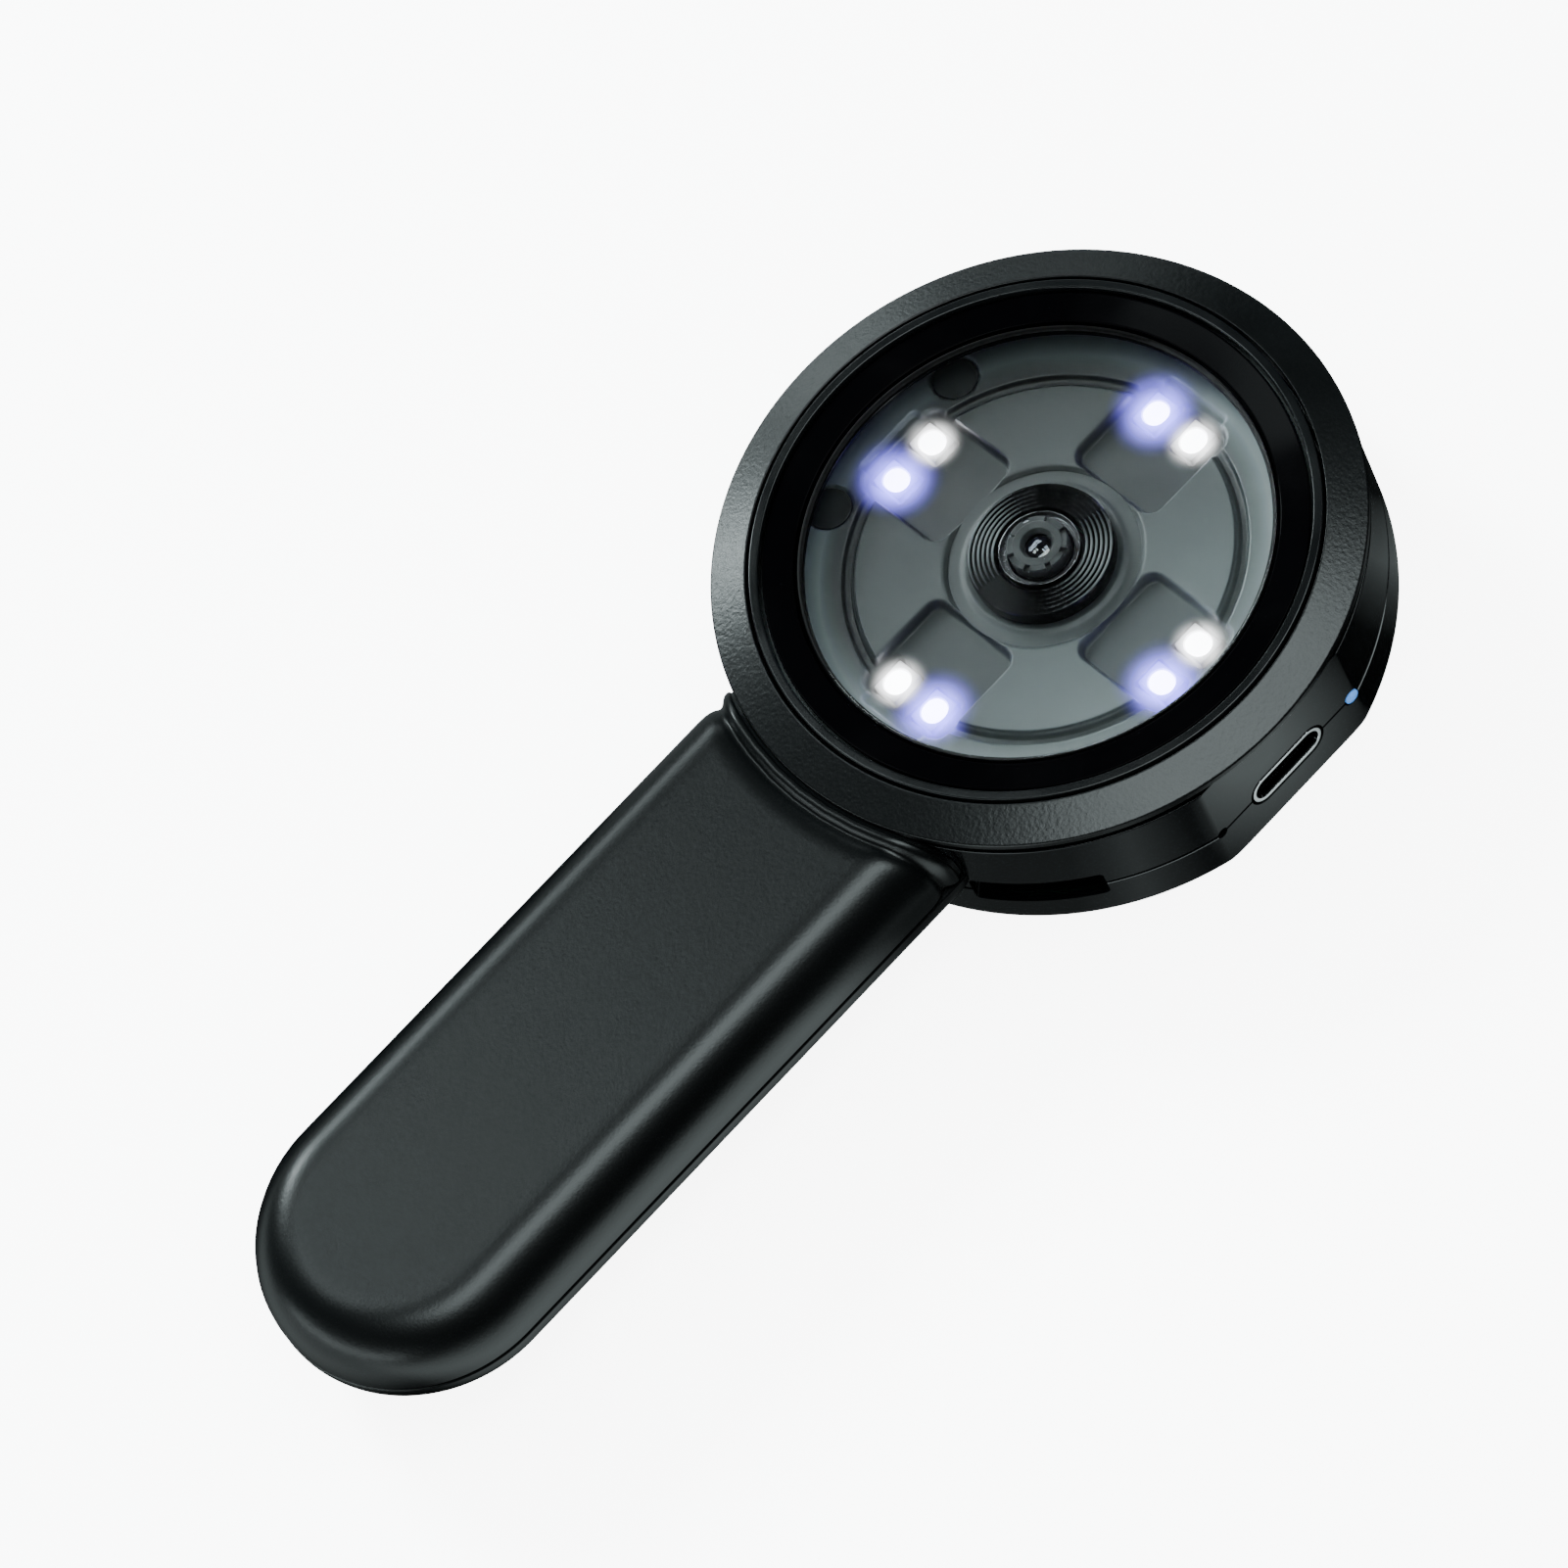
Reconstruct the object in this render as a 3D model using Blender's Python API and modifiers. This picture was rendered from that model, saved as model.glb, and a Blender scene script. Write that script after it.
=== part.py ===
"""Digital magnifier with a round camera head, a rear display and a flat handle.

Lengths are metres. Everything hangs under one empty on the head's axis. In that frame the head's
axis is +Z and the lens looks up, the handle runs toward -X and the charging port faces -Y. The
device lies on the rim of its rear shell, at height zero, with the display underneath.
"""
import math

import bmesh
import bpy

# Fits shared by every piece
GAP = 0.0003
OVERRUN = 0.0010
MERGE_SHARE = 0.01
COIN_STEPS = 60
HIDDEN_STEPS = 40
SMALL_STEPS = 16
TINY_STEPS = 8

# Rear of the head, from the surface it lies on upwards
COVER_RECESS = 0.0002
COVER_THICKNESS = 0.0008
COVER_MARGIN = 0.0027
REAR_FLOOR = 0.0010
PANEL_THICKNESS = 0.0015
PANEL_BORDER = 0.0014
TRAY_SHEET = 0.0004
PART_SPACE = 0.0005
SOCKET_HEIGHT = 0.0015
BOARD_THICKNESS = 0.0008

# Wall of the head
WALL_INSET = 0.0002
WALL_THICKNESS = 0.0018
FOOT_ROUND = 0.0005
FLAT_DEPTH = 0.0014
FLAT_WALL = 0.0016
NECK_DEPTH = 0.0008
NECK_CUT = 0.0006

# Bezel, lip ring, mask ring and window
BEZEL_RADIUS = 0.0310
BEZEL_WIDTH = 0.0037
BEZEL_EDGE = 0.0007
BEZEL_RISE = 0.0013
LIP_WIDTH = 0.0009
LIP_STAND = 0.0001
EDGE_ROUND = 0.00012
MASK_WIDTH = 0.0029
MASK_FALL = 0.0004
MASK_LEDGE = 0.0008
LEDGE_THICKNESS = 0.0004
WINDOW_THICKNESS = 0.0006
WINDOW_CHAMFER = 0.0002

# Light plate under the window
PLATE_DEPTH = 0.0032
PLATE_THICKNESS = 0.0016
PLATE_RIM = 0.0028
GROOVE_INSET = 0.00518
GROOVE_WIDTH = 0.0006
GROOVE_DEPTH = 0.0005
SECTOR_STAND = 0.00025
SECTOR_MARGIN = 0.0006
HUB_RADIUS = 0.0094
HUB_HEIGHT = 0.0015
HUB_TOP_WIDTH = 0.0003
SEAT_WIDTH = 0.0010
SEAT_DROP = 0.0002
POCKET_WIDTH = 0.0105
POCKET_FLOOR = 0.0008
POCKET_REACH = 0.0010
POCKET_ROUND = 0.0014
CORNER_SEGMENTS = 2
NOTCH_WIDTH = 0.0074
NOTCH_REACH = 0.0011
NOTCH_DEPTH = 0.0004
SHELF_THICKNESS = 0.0010
SHELF_WIDTH = 0.00358
LED_BOARD_SPACE = 0.0012
LED_BOARD_BORE = 0.0080
LED_BOARD_MARGIN = 0.0006
LED_INSET = 0.0014
LED_PITCH = 0.0049
LED_WIDTH = 0.0028
LED_LENGTH = 0.0035
LED_HEIGHT = 0.0011
RECESS_RADIUS = 0.0023
RECESS_FLOOR = 0.0006
RECESS_INSET = 0.00194
RECESS_ANGLE = math.radians(22.86)

# Camera
SHROUD_RADIUS = 0.0071
SHROUD_BORE = 0.00425
SHROUD_RISE = 0.0002
RIDGE_COUNT = 3
RIDGE_DEPTH = 0.00012
RING_WIDTH = 0.0007
RING_HEIGHT = 0.0009
RING_STAND = 0.0001
BARREL_RADIUS = 0.0029
BARREL_BORE = 0.0017
NUT_HEIGHT = 0.0014
NUT_MOUTH = 0.0016
NUT_THROAT = 0.00125
NUT_NOTCH_COUNT = 8
NUT_NOTCH = 0.0005
LENS_RIM = 0.0009
LENS_CROWN = 0.0006
FOCUS_SPACE = 0.0006
CAMERA_BOARD_SIDE = 0.0110
CAMERA_BOARD_THICKNESS = 0.0006
SENSOR_SIDE = 0.0056
SENSOR_HEIGHT = 0.0008
HOLDER_SIDE = 0.0085
HOLDER_WALL = 0.0008
HOLDER_ROOF = 0.0008
HOLDER_SLEEVE = 0.00075

# Main board, port, indicator, reset switch and card socket
BOARD_MARGIN = 0.0010
PORT_WIDTH = 0.00894
PORT_HEIGHT = 0.00326
PORT_LENGTH = 0.0073
PORT_SHEET = 0.0003
PORT_TONGUE_WIDTH = 0.0067
PORT_TONGUE_THICKNESS = 0.0007
PORT_TONGUE_LENGTH = 0.0056
SIGNAL_MARGIN = 0.00048
PIPE_RADIUS = 0.00075
PIPE_LENGTH = 0.0030
PIPE_STAND = 0.00015
PINHOLE_RADIUS = 0.0006
RESET_SETBACK = 0.0022
RESET_RADIUS = 0.0005
RESET_TRAVEL = 0.00025
RESET_REACH = 0.0008
RESET_SIDE = 0.0030
RESET_DEPTH = 0.0024
SLOT_WIDTH = 0.0126
SLOT_HEIGHT = 0.0036
SLOT_ANGLE = math.radians(40.3)
SOCKET_WIDTH = 0.0120
SOCKET_LENGTH = 0.0124
SOCKET_SHEET = 0.0003
SOCKET_MARGIN = 0.0011

# Bosses and screws of the head
BOSS_RADIUS = 0.0020
SCREW_RADIUS = 0.0007
SCREW_HEAD_RADIUS = 0.0014
SCREW_HEAD_HEIGHT = 0.0009
SCREW_LENGTH = 0.0045
SCREW_SLOT = 0.0004
SCREW_SLOT_DEPTH = 0.0004
SCREW_SLOT_SHARE = 0.6
SIDE_BOSS_SPACE = 0.0014
POST_RADIUS = 0.0014
POST_SPREAD = 0.0060

# Handle
HANDLE_LENGTH = 0.0683
HANDLE_HALF_WIDTH = 0.0150
HANDLE_THICKNESS = 0.0100
HANDLE_LOWER = 0.0034
HANDLE_WALL = 0.0016
SHOULDER_ROUND = 0.0056
UNDER_ROUND = 0.0026
ROUND_SEGMENTS = 5
UNDER_SEGMENTS = 3
INNER_SEGMENTS = 2
END_STEPS = 24
BAND_WIDTH = 0.0012
BAND_GROOVE_WIDTH = 0.0006
BAND_GROOVE_DEPTH = 0.0006
TONGUE_HALF_WIDTH = 0.0080
TONGUE_THICKNESS = 0.0016
TONGUE_ROOT = 0.0007
TONGUE_END = 0.0020
TONGUE_HOLD = 0.0032
TONGUE_SCREW_Y = 0.0060
TONGUE_BOSS_RADIUS = 0.0017
CABLE_SPACE = 0.0019
HANDLE_BOSS_RADIUS = 0.0019
END_BOSS_MARGIN = 0.0046
HANDLE_PAD_HEIGHT = 0.0010

# Buttons on the underside of the handle
CLUSTER_OFFSET = 0.0122
BUTTON_PITCH = 0.0092
BUTTON_RADIUS = 0.0032
BUTTON_STAND = 0.0006
BUTTON_DOME = 0.0002
BUTTON_FLANGE = 0.0006
BUTTON_FLANGE_HEIGHT = 0.0005
BUTTON_STEM_RADIUS = 0.0010
BUTTON_STEM = 0.0005
BUTTON_TRAVEL = 0.0003
SWITCH_SIDE = 0.0045
SWITCH_HEIGHT = 0.0011
BUTTON_BOARD_LENGTH = 0.0160
BUTTON_BOARD_SPACE = 0.0026
STAKE_RADIUS = 0.0016
STAKE_PIN_RADIUS = 0.0008
STAKE_INSET = 0.0018

# Battery and its lead
BATTERY_END_SPACE = 0.0014
BATTERY_SIDE_SPACE = 0.0039
BATTERY_HEIGHT = 0.0044
PAD_THICKNESS = 0.0005
PAD_MARGIN = 0.0020
LEAD_RADIUS = 0.0003
LEAD_Y = 0.0036
FLEX_WIDTH = 0.0050
FLEX_THICKNESS = 0.0003

# Heights that the stack in the head gives
COVER_BOTTOM = COVER_RECESS
COVER_TOP = COVER_BOTTOM + COVER_THICKNESS
FLOOR_BOTTOM = COVER_TOP + GAP
FLOOR_TOP = FLOOR_BOTTOM + REAR_FLOOR
PANEL_BOTTOM = FLOOR_TOP + GAP
PANEL_TOP = PANEL_BOTTOM + PANEL_THICKNESS
TRAY_TOP = PANEL_TOP + GAP + TRAY_SHEET
SOCKET_BOTTOM = TRAY_TOP + PART_SPACE
SOCKET_TOP = SOCKET_BOTTOM + SOCKET_HEIGHT
BOARD_BOTTOM = SOCKET_TOP + GAP
BOARD_TOP = BOARD_BOTTOM + BOARD_THICKNESS
SEAM = BOARD_BOTTOM - GAP - PORT_HEIGHT / 2
LED_BOARD_BOTTOM = BOARD_TOP + LED_BOARD_SPACE
LED_BOARD_TOP = LED_BOARD_BOTTOM + BOARD_THICKNESS
PLATE_BOTTOM = LED_BOARD_TOP + GAP
PLATE_FACE = PLATE_BOTTOM + PLATE_THICKNESS
FACE = PLATE_FACE + PLATE_DEPTH
BEZEL_BOTTOM = FACE - BEZEL_EDGE
SHELL_TOP = BEZEL_BOTTOM - GAP
SHELF_TOP = PLATE_BOTTOM - GAP
SHELF_BOTTOM = SHELF_TOP - SHELF_THICKNESS
LEDGE_TOP = BEZEL_BOTTOM + LEDGE_THICKNESS
WINDOW_BOTTOM = LEDGE_TOP + GAP
WINDOW_TOP = WINDOW_BOTTOM + WINDOW_THICKNESS
CAMERA_BOARD_TOP = BOARD_TOP + GAP + CAMERA_BOARD_THICKNESS
SENSOR_TOP = CAMERA_BOARD_TOP + GAP + SENSOR_HEIGHT
NUT_TOP = WINDOW_BOTTOM - GAP
NUT_BOTTOM = NUT_TOP - NUT_HEIGHT
BARREL_TOP = NUT_BOTTOM - GAP
SHROUD_TOP = PLATE_FACE + HUB_HEIGHT + SHROUD_RISE
RING_TOP = SHROUD_TOP + SHROUD_RISE + RING_STAND
RING_BOTTOM = RING_TOP - RING_HEIGHT
SLEEVE_TOP = RING_BOTTOM - GAP

# Radii that follow from the driving sizes
WALL_RADIUS = BEZEL_RADIUS - WALL_INSET
WALL_BORE = WALL_RADIUS - WALL_THICKNESS
BEZEL_BORE = BEZEL_RADIUS - BEZEL_WIDTH
LIP_RADIUS = BEZEL_BORE - GAP
LIP_BORE = LIP_RADIUS - LIP_WIDTH
MASK_RADIUS = LIP_BORE - GAP
MASK_SEAT = MASK_RADIUS - MASK_WIDTH
MASK_BORE = MASK_SEAT - MASK_LEDGE
WINDOW_RADIUS = MASK_SEAT - GAP
PLATE_RADIUS = BEZEL_BORE - GAP - EDGE_ROUND
PLATE_SEAT = PLATE_RADIUS + GAP
RIM_RADIUS = PLATE_RADIUS - PLATE_RIM
GROOVE_RADIUS = RIM_RADIUS - GROOVE_INSET
LED_RING_RADIUS = GROOVE_RADIUS - LED_INSET
SHELF_BORE = PLATE_SEAT - SHELF_WIDTH
LED_BOARD_RADIUS = SHELF_BORE - LED_BOARD_MARGIN
HUB_BORE = SHROUD_RADIUS + GAP
SCREW_HOLE = SCREW_RADIUS + GAP
SLEEVE_RADIUS = BARREL_RADIUS + GAP + HOLDER_SLEEVE
COVER_RADIUS = WALL_BORE - COVER_MARGIN
COUNTERBORE = COVER_RADIUS + GAP

# The flat in the side wall, with the port, the indicator and the reset hole
FLAT_DISTANCE = WALL_RADIUS - FLAT_DEPTH
FLAT_INNER = FLAT_DISTANCE - FLAT_WALL
FLAT_HALF = math.sqrt(WALL_RADIUS ** 2 - FLAT_DISTANCE ** 2)
SIGNAL_X = FLAT_HALF - SIGNAL_MARGIN

# Screws of the head. The first pair shares its bosses with the screws of the light plate. The
# second pair stands beside the card socket, as near as the cover glass lets it.
RECESS_CIRCLE = RIM_RADIUS - RECESS_INSET
RECESS_X = RECESS_CIRCLE * math.sin(RECESS_ANGLE)
RECESS_Y = RECESS_CIRCLE * math.cos(RECESS_ANGLE)
BOSS_CIRCLE = COVER_RADIUS - SCREW_HEAD_RADIUS - 2 * GAP
SOCKET_CLEAR = SOCKET_WIDTH / 2 + BOSS_RADIUS + SIDE_BOSS_SPACE
SIDE_BOSS_ANGLE = math.pi / 2 - SLOT_ANGLE - math.asin(SOCKET_CLEAR / BOSS_CIRCLE)
SIDE_BOSS_X = BOSS_CIRCLE * math.sin(SIDE_BOSS_ANGLE)
SIDE_BOSS_Y = -BOSS_CIRCLE * math.cos(SIDE_BOSS_ANGLE)
PLATE_BOSSES = ((RECESS_X, RECESS_Y), (-RECESS_X, RECESS_Y))
SIDE_BOSSES = ((SIDE_BOSS_X, SIDE_BOSS_Y), (-SIDE_BOSS_X, SIDE_BOSS_Y))
HEAD_BOSSES = PLATE_BOSSES + SIDE_BOSSES

# The display fills the width between the bosses and the length that the wall leaves it
TRAY_HALF_WIDTH = RECESS_Y - BOSS_RADIUS - GAP
TRAY_HALF_LENGTH = math.sqrt((WALL_BORE - GAP) ** 2 - TRAY_HALF_WIDTH ** 2)
PANEL_HALF_WIDTH = TRAY_HALF_WIDTH - TRAY_SHEET - GAP
PANEL_HALF_LENGTH = TRAY_HALF_LENGTH - TRAY_SHEET - GAP
POST_X = TRAY_HALF_LENGTH + GAP + POST_RADIUS + PART_SPACE
POST_Y = TONGUE_HALF_WIDTH + GAP + POST_RADIUS + PART_SPACE
POSTS = ((POST_X, POST_SPREAD), (POST_X, -POST_SPREAD), (-POST_X, POST_Y))

# Heights and places in the handle
HANDLE_BOTTOM = FACE - HANDLE_THICKNESS
PARTING = HANDLE_BOTTOM + HANDLE_LOWER
HANDLE_FLOOR = HANDLE_BOTTOM + HANDLE_WALL
HANDLE_CEILING = FACE - HANDLE_WALL
HANDLE_START = BEZEL_RADIUS + GAP
HANDLE_REACH = HANDLE_START + HANDLE_LENGTH
HANDLE_ROOT = math.sqrt(HANDLE_START ** 2 - HANDLE_HALF_WIDTH ** 2) - OVERRUN
END_X = HANDLE_REACH - HANDLE_HALF_WIDTH
TONGUE_SCREW_X = TRAY_HALF_LENGTH + TONGUE_BOSS_RADIUS + 2 * GAP
TONGUE_INNER = TONGUE_SCREW_X - TONGUE_END
TONGUE_OUTER = HANDLE_START + TONGUE_HOLD
CLUSTER_X = HANDLE_START + CLUSTER_OFFSET
BUTTON_BOARD_WIDTH = 2 * (HANDLE_HALF_WIDTH - HANDLE_WALL - BUTTON_BOARD_SPACE)
STAKE_Y = BUTTON_BOARD_WIDTH / 2 - STAKE_INSET
NEAR_BOSS_X = CLUSTER_X + BUTTON_BOARD_LENGTH / 2 + HANDLE_BOSS_RADIUS + 2 * GAP
FAR_BOSS_X = HANDLE_REACH - END_BOSS_MARGIN
BATTERY_X = (NEAR_BOSS_X + FAR_BOSS_X) / 2
BATTERY_LENGTH = FAR_BOSS_X - NEAR_BOSS_X - 2 * (HANDLE_BOSS_RADIUS + BATTERY_END_SPACE)
BATTERY_WIDTH = 2 * (HANDLE_HALF_WIDTH - HANDLE_WALL - BATTERY_SIDE_SPACE)
TONGUE_BOTTOM = HANDLE_FLOOR - TONGUE_ROOT
TONGUE_TOP = TONGUE_BOTTOM + TONGUE_THICKNESS
FLANGE_BOTTOM = HANDLE_FLOOR + GAP
FLANGE_TOP = FLANGE_BOTTOM + BUTTON_FLANGE_HEIGHT
STEM_TOP = FLANGE_TOP + BUTTON_STEM
SWITCH_BOTTOM = STEM_TOP + BUTTON_TRAVEL + GAP
BUTTON_BOARD_BOTTOM = SWITCH_BOTTOM + SWITCH_HEIGHT + GAP
BUTTON_BOARD_TOP = BUTTON_BOARD_BOTTOM + BOARD_THICKNESS
BATTERY_BOTTOM = HANDLE_FLOOR + GAP + PAD_THICKNESS + GAP
HEAD_X = (HANDLE_REACH - BEZEL_RADIUS) / 2


def clear_scene():
    for thing in list(bpy.data.objects):
        bpy.data.objects.remove(thing, do_unlink=True)


clear_scene()
parts = bpy.data.collections.new("digital_magnifier")
cutters = bpy.data.collections.new("cutters")
bpy.context.scene.collection.children.link(parts)
bpy.context.scene.collection.children.link(cutters)

head_frame = bpy.data.objects.new("head_frame", None)
head_frame.location = (HEAD_X, 0, 0)
parts.objects.link(head_frame)


def add_object(name, mesh, place=(0, 0, 0), turn=(0, 0, 0), cutter=False):
    """Put a mesh in the head's frame, as a sub-part or as a cutter."""
    thing = bpy.data.objects.new(name, mesh)
    thing.parent = head_frame
    thing.location = place
    thing.rotation_euler = turn
    group = cutters if cutter else parts
    group.objects.link(thing)
    if cutter:
        thing.hide_render = True
        thing.display_type = "WIRE"
    return thing


def finish(thing, colour, roughness, metallic=0.0, transmission=0.0, glow=0.0):
    """Give a sub-part its own material."""
    material = bpy.data.materials.new(thing.name + "_finish")
    material.use_nodes = True
    shader = material.node_tree.nodes["Principled BSDF"]
    shader.inputs["Base Color"].default_value = (*colour, 1)
    shader.inputs["Roughness"].default_value = roughness
    shader.inputs["Metallic"].default_value = metallic
    shader.inputs["Transmission Weight"].default_value = transmission
    shader.inputs["Emission Color"].default_value = (*colour, 1)
    shader.inputs["Emission Strength"].default_value = glow
    thing.data.materials.append(material)
    return thing


def turned(name, profile, steps, place=(0, 0, 0), turn=(0, 0, 0), cutter=False, closed=True):
    """Turn a profile of (radius, height) points about Z. It runs down its outer side."""
    mesh = bpy.data.meshes.new(name)
    count = len(profile)
    edges = [(index, index + 1) for index in range(count - 1)]
    if closed:
        edges.append((count - 1, 0))
    mesh.from_pydata([(radius, 0, height) for radius, height in profile], edges, [])
    thing = add_object(name, mesh, place, turn, cutter)
    screw = thing.modifiers.new("turn", "SCREW")
    screw.axis = "Z"
    screw.steps = steps
    screw.render_steps = steps
    screw.use_merge_vertices = True
    screw.merge_threshold = GAP * MERGE_SHARE
    return thing


def disc(name, radius, bottom, top, steps, place=(0, 0, 0), turn=(0, 0, 0), cutter=False):
    """Make a plain round solid about Z."""
    profile = [(0, top), (radius, top), (radius, bottom), (0, bottom)]
    return turned(name, profile, steps, place, turn, cutter, closed=False)


def stack(name, layers, x, y):
    """A stepped round cutter about Z. Each layer is (radius, top, bottom), the highest first.

    It is turned by half a step, so that its corners don't line up with those of a boss round it.
    """
    profile = [(0, layers[0][1])]
    for radius, top, bottom in layers:
        profile += [(radius, top), (radius, bottom)]
    profile.append((0, layers[-1][2]))
    turn = (0, 0, math.pi / SMALL_STEPS)
    return turned(name, profile, SMALL_STEPS, (x, y, 0), turn, cutter=True, closed=False)


def drilled_boss(name, radius, bottom, top, hole_top, x, y):
    """A round boss for a shell, with a blind hole for a screw from below."""
    profile = [(0, top), (radius, top), (radius, bottom)]
    profile += [(SCREW_HOLE, bottom), (SCREW_HOLE, hole_top), (0, hole_top)]
    return turned(name, profile, SMALL_STEPS, (x, y, 0), cutter=True, closed=False)


def drilled_post(name, radius, bottom, top, hole_bottom, x, y):
    """A round post for a shell, with a blind hole for a screw from above."""
    profile = [(0, hole_bottom), (SCREW_HOLE, hole_bottom), (SCREW_HOLE, top)]
    profile += [(radius, top), (radius, bottom), (0, bottom)]
    return turned(name, profile, SMALL_STEPS, (x, y, 0), cutter=True, closed=False)


def pierced_boss(name, radius, bottom, top, x, y):
    """A round boss for a shell, with a hole right through it."""
    profile = [(radius, top), (radius, bottom), (SCREW_HOLE, bottom), (SCREW_HOLE, top)]
    return turned(name, profile, SMALL_STEPS, (x, y, 0), cutter=True)


def tube(name, bore, radius, bottom, top, steps, place=(0, 0, 0)):
    """Make a plain round tube about Z."""
    profile = [(radius, top), (radius, bottom), (bore, bottom), (bore, top)]
    return turned(name, profile, steps, place)


def box(name, low, high, place=(0, 0, 0), turn=(0, 0, 0), cutter=False):
    """Make a box between two corners, given from its object's own origin."""
    mesh = bpy.data.meshes.new(name)
    work = bmesh.new()
    bmesh.ops.create_cube(work, size=1)
    for vert in work.verts:
        for axis in range(3):
            share = vert.co[axis] + 0.5
            vert.co[axis] = low[axis] + share * (high[axis] - low[axis])
    work.to_mesh(mesh)
    work.free()
    return add_object(name, mesh, place, turn, cutter)


def slab(name, outline, bottom, top, place=(0, 0, 0), turn=(0, 0, 0), cutter=False):
    """Extrude a flat outline, drawn as a filled curve, between two heights."""
    curve = bpy.data.curves.new(name, "CURVE")
    curve.dimensions = "2D"
    curve.fill_mode = "BOTH"
    curve.extrude = (top - bottom) / 2
    spline = curve.splines.new("POLY")
    spline.points.add(len(outline) - 1)
    for point, (x, y) in zip(spline.points, outline):
        point.co = (x, y, 0, 1)
    spline.use_cyclic_u = True
    guide = bpy.data.objects.new(name + "_curve", curve)
    guide.location = (0, 0, (top + bottom) / 2)
    cutters.objects.link(guide)
    mesh = baked(guide, name)
    return add_object(name, mesh, place, turn, cutter)


def baked(guide, name):
    """Turn a curve object into a closed mesh with plain flat faces, and remove the curve."""
    bpy.context.view_layer.update()
    graph = bpy.context.evaluated_depsgraph_get()
    mesh = bpy.data.meshes.new_from_object(guide.evaluated_get(graph))
    mesh.name = name
    work = bmesh.new()
    work.from_mesh(mesh)
    bmesh.ops.remove_doubles(work, verts=work.verts, dist=GAP * MERGE_SHARE)
    bmesh.ops.transform(work, matrix=guide.matrix_world, verts=work.verts)
    bmesh.ops.dissolve_limit(work, angle_limit=math.radians(0.5), verts=work.verts, edges=work.edges)
    bmesh.ops.recalc_face_normals(work, faces=work.faces)
    work.to_mesh(mesh)
    work.free()
    bpy.data.objects.remove(guide, do_unlink=True)
    return mesh


def round_edges(thing, height, offset, segments):
    """Round the edges of a slab that lie at one height."""
    work = bmesh.new()
    work.from_mesh(thing.data)
    near = GAP * MERGE_SHARE
    chosen = []
    for edge in work.edges:
        if all(abs(vert.co.z - height) < near for vert in edge.verts):
            chosen.append(edge)
    bmesh.ops.bevel(work, geom=chosen, offset=offset, offset_type="OFFSET", segments=segments,
                    profile=0.5, affect="EDGES", clamp_overlap=True)
    work.to_mesh(thing.data)
    work.free()


def round_corners(thing, offset, segments):
    """Round the upright edges of a box."""
    work = bmesh.new()
    work.from_mesh(thing.data)
    chosen = []
    for edge in work.edges:
        first, last = edge.verts
        if abs(first.co.z - last.co.z) > GAP:
            chosen.append(edge)
    bmesh.ops.bevel(work, geom=chosen, offset=offset, offset_type="OFFSET", segments=segments,
                    profile=0.5, affect="EDGES", clamp_overlap=True)
    work.to_mesh(thing.data)
    work.free()


def combine(thing, other, operation):
    """Add an exact Boolean to a sub-part."""
    boolean = thing.modifiers.new(operation.lower(), "BOOLEAN")
    boolean.operation = operation
    boolean.solver = "EXACT"
    boolean.object = other


def cut(thing, *others):
    for other in others:
        combine(thing, other, "DIFFERENCE")


def join(thing, *others):
    for other in others:
        combine(thing, other, "UNION")


def stadium(width, height, steps):
    """Outline of a bar with round ends."""
    radius = height / 2
    reach = width / 2 - radius
    points = []
    for side in (1, -1):
        for step in range(steps + 1):
            angle = math.pi * step / steps - math.pi / 2
            points.append((side * (reach + radius * math.cos(angle)), side * radius * math.sin(angle)))
    return points


def machine_screw(name, x, y, seat, length, head_up):
    """A pan head screw with a cross recess. Its head bears on the seat height."""
    profile = [(0, SCREW_HEAD_HEIGHT), (SCREW_HEAD_RADIUS, SCREW_HEAD_HEIGHT), (SCREW_HEAD_RADIUS, 0),
               (SCREW_RADIUS, 0), (SCREW_RADIUS, -length), (0, -length)]
    turn = (0, 0, 0) if head_up else (math.pi, 0, 0)
    screw = turned(name, profile, TINY_STEPS, (x, y, seat), turn, closed=False)
    reach = SCREW_HEAD_RADIUS * SCREW_SLOT_SHARE
    floor = SCREW_HEAD_HEIGHT - SCREW_SLOT_DEPTH
    top = SCREW_HEAD_HEIGHT + OVERRUN
    for number, (across, along) in enumerate(((reach, SCREW_SLOT / 2), (SCREW_SLOT / 2, reach))):
        slot = box(f"{name}_slot_{number}", (-across, -along, floor), (across, along, top),
                   (x, y, seat), turn, cutter=True)
        cut(screw, slot)
    return finish(screw, (0.02, 0.02, 0.022), 0.35, 1.0)


def flat_cutter(name):
    """Everything outside the flat that holds the port."""
    reach = WALL_RADIUS + OVERRUN
    return box(name, (-reach, -reach, -OVERRUN), (reach, -FLAT_DISTANCE, FACE + OVERRUN), cutter=True)


def slot_cutter():
    """Mouth of the card slot, square to the wall."""
    half = SLOT_WIDTH / 2
    low = (WALL_BORE - OVERRUN * 2, -half, SEAM - SLOT_HEIGHT / 2)
    high = (WALL_RADIUS + OVERRUN, half, SEAM + SLOT_HEIGHT / 2)
    return box("slot_mouth", low, high, (0, 0, 0), (0, 0, math.pi + SLOT_ANGLE), cutter=True)


def port_cutter():
    """Mouth of the port through the flat."""
    outline = stadium(PORT_WIDTH + 2 * GAP, PORT_HEIGHT + 2 * GAP, TINY_STEPS)
    length = FLAT_WALL + 2 * OVERRUN
    place = (0, -FLAT_DISTANCE - OVERRUN, SEAM)
    return slab("port_mouth", outline, -length, 0, place, (math.pi / 2, 0, 0), cutter=True)


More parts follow.
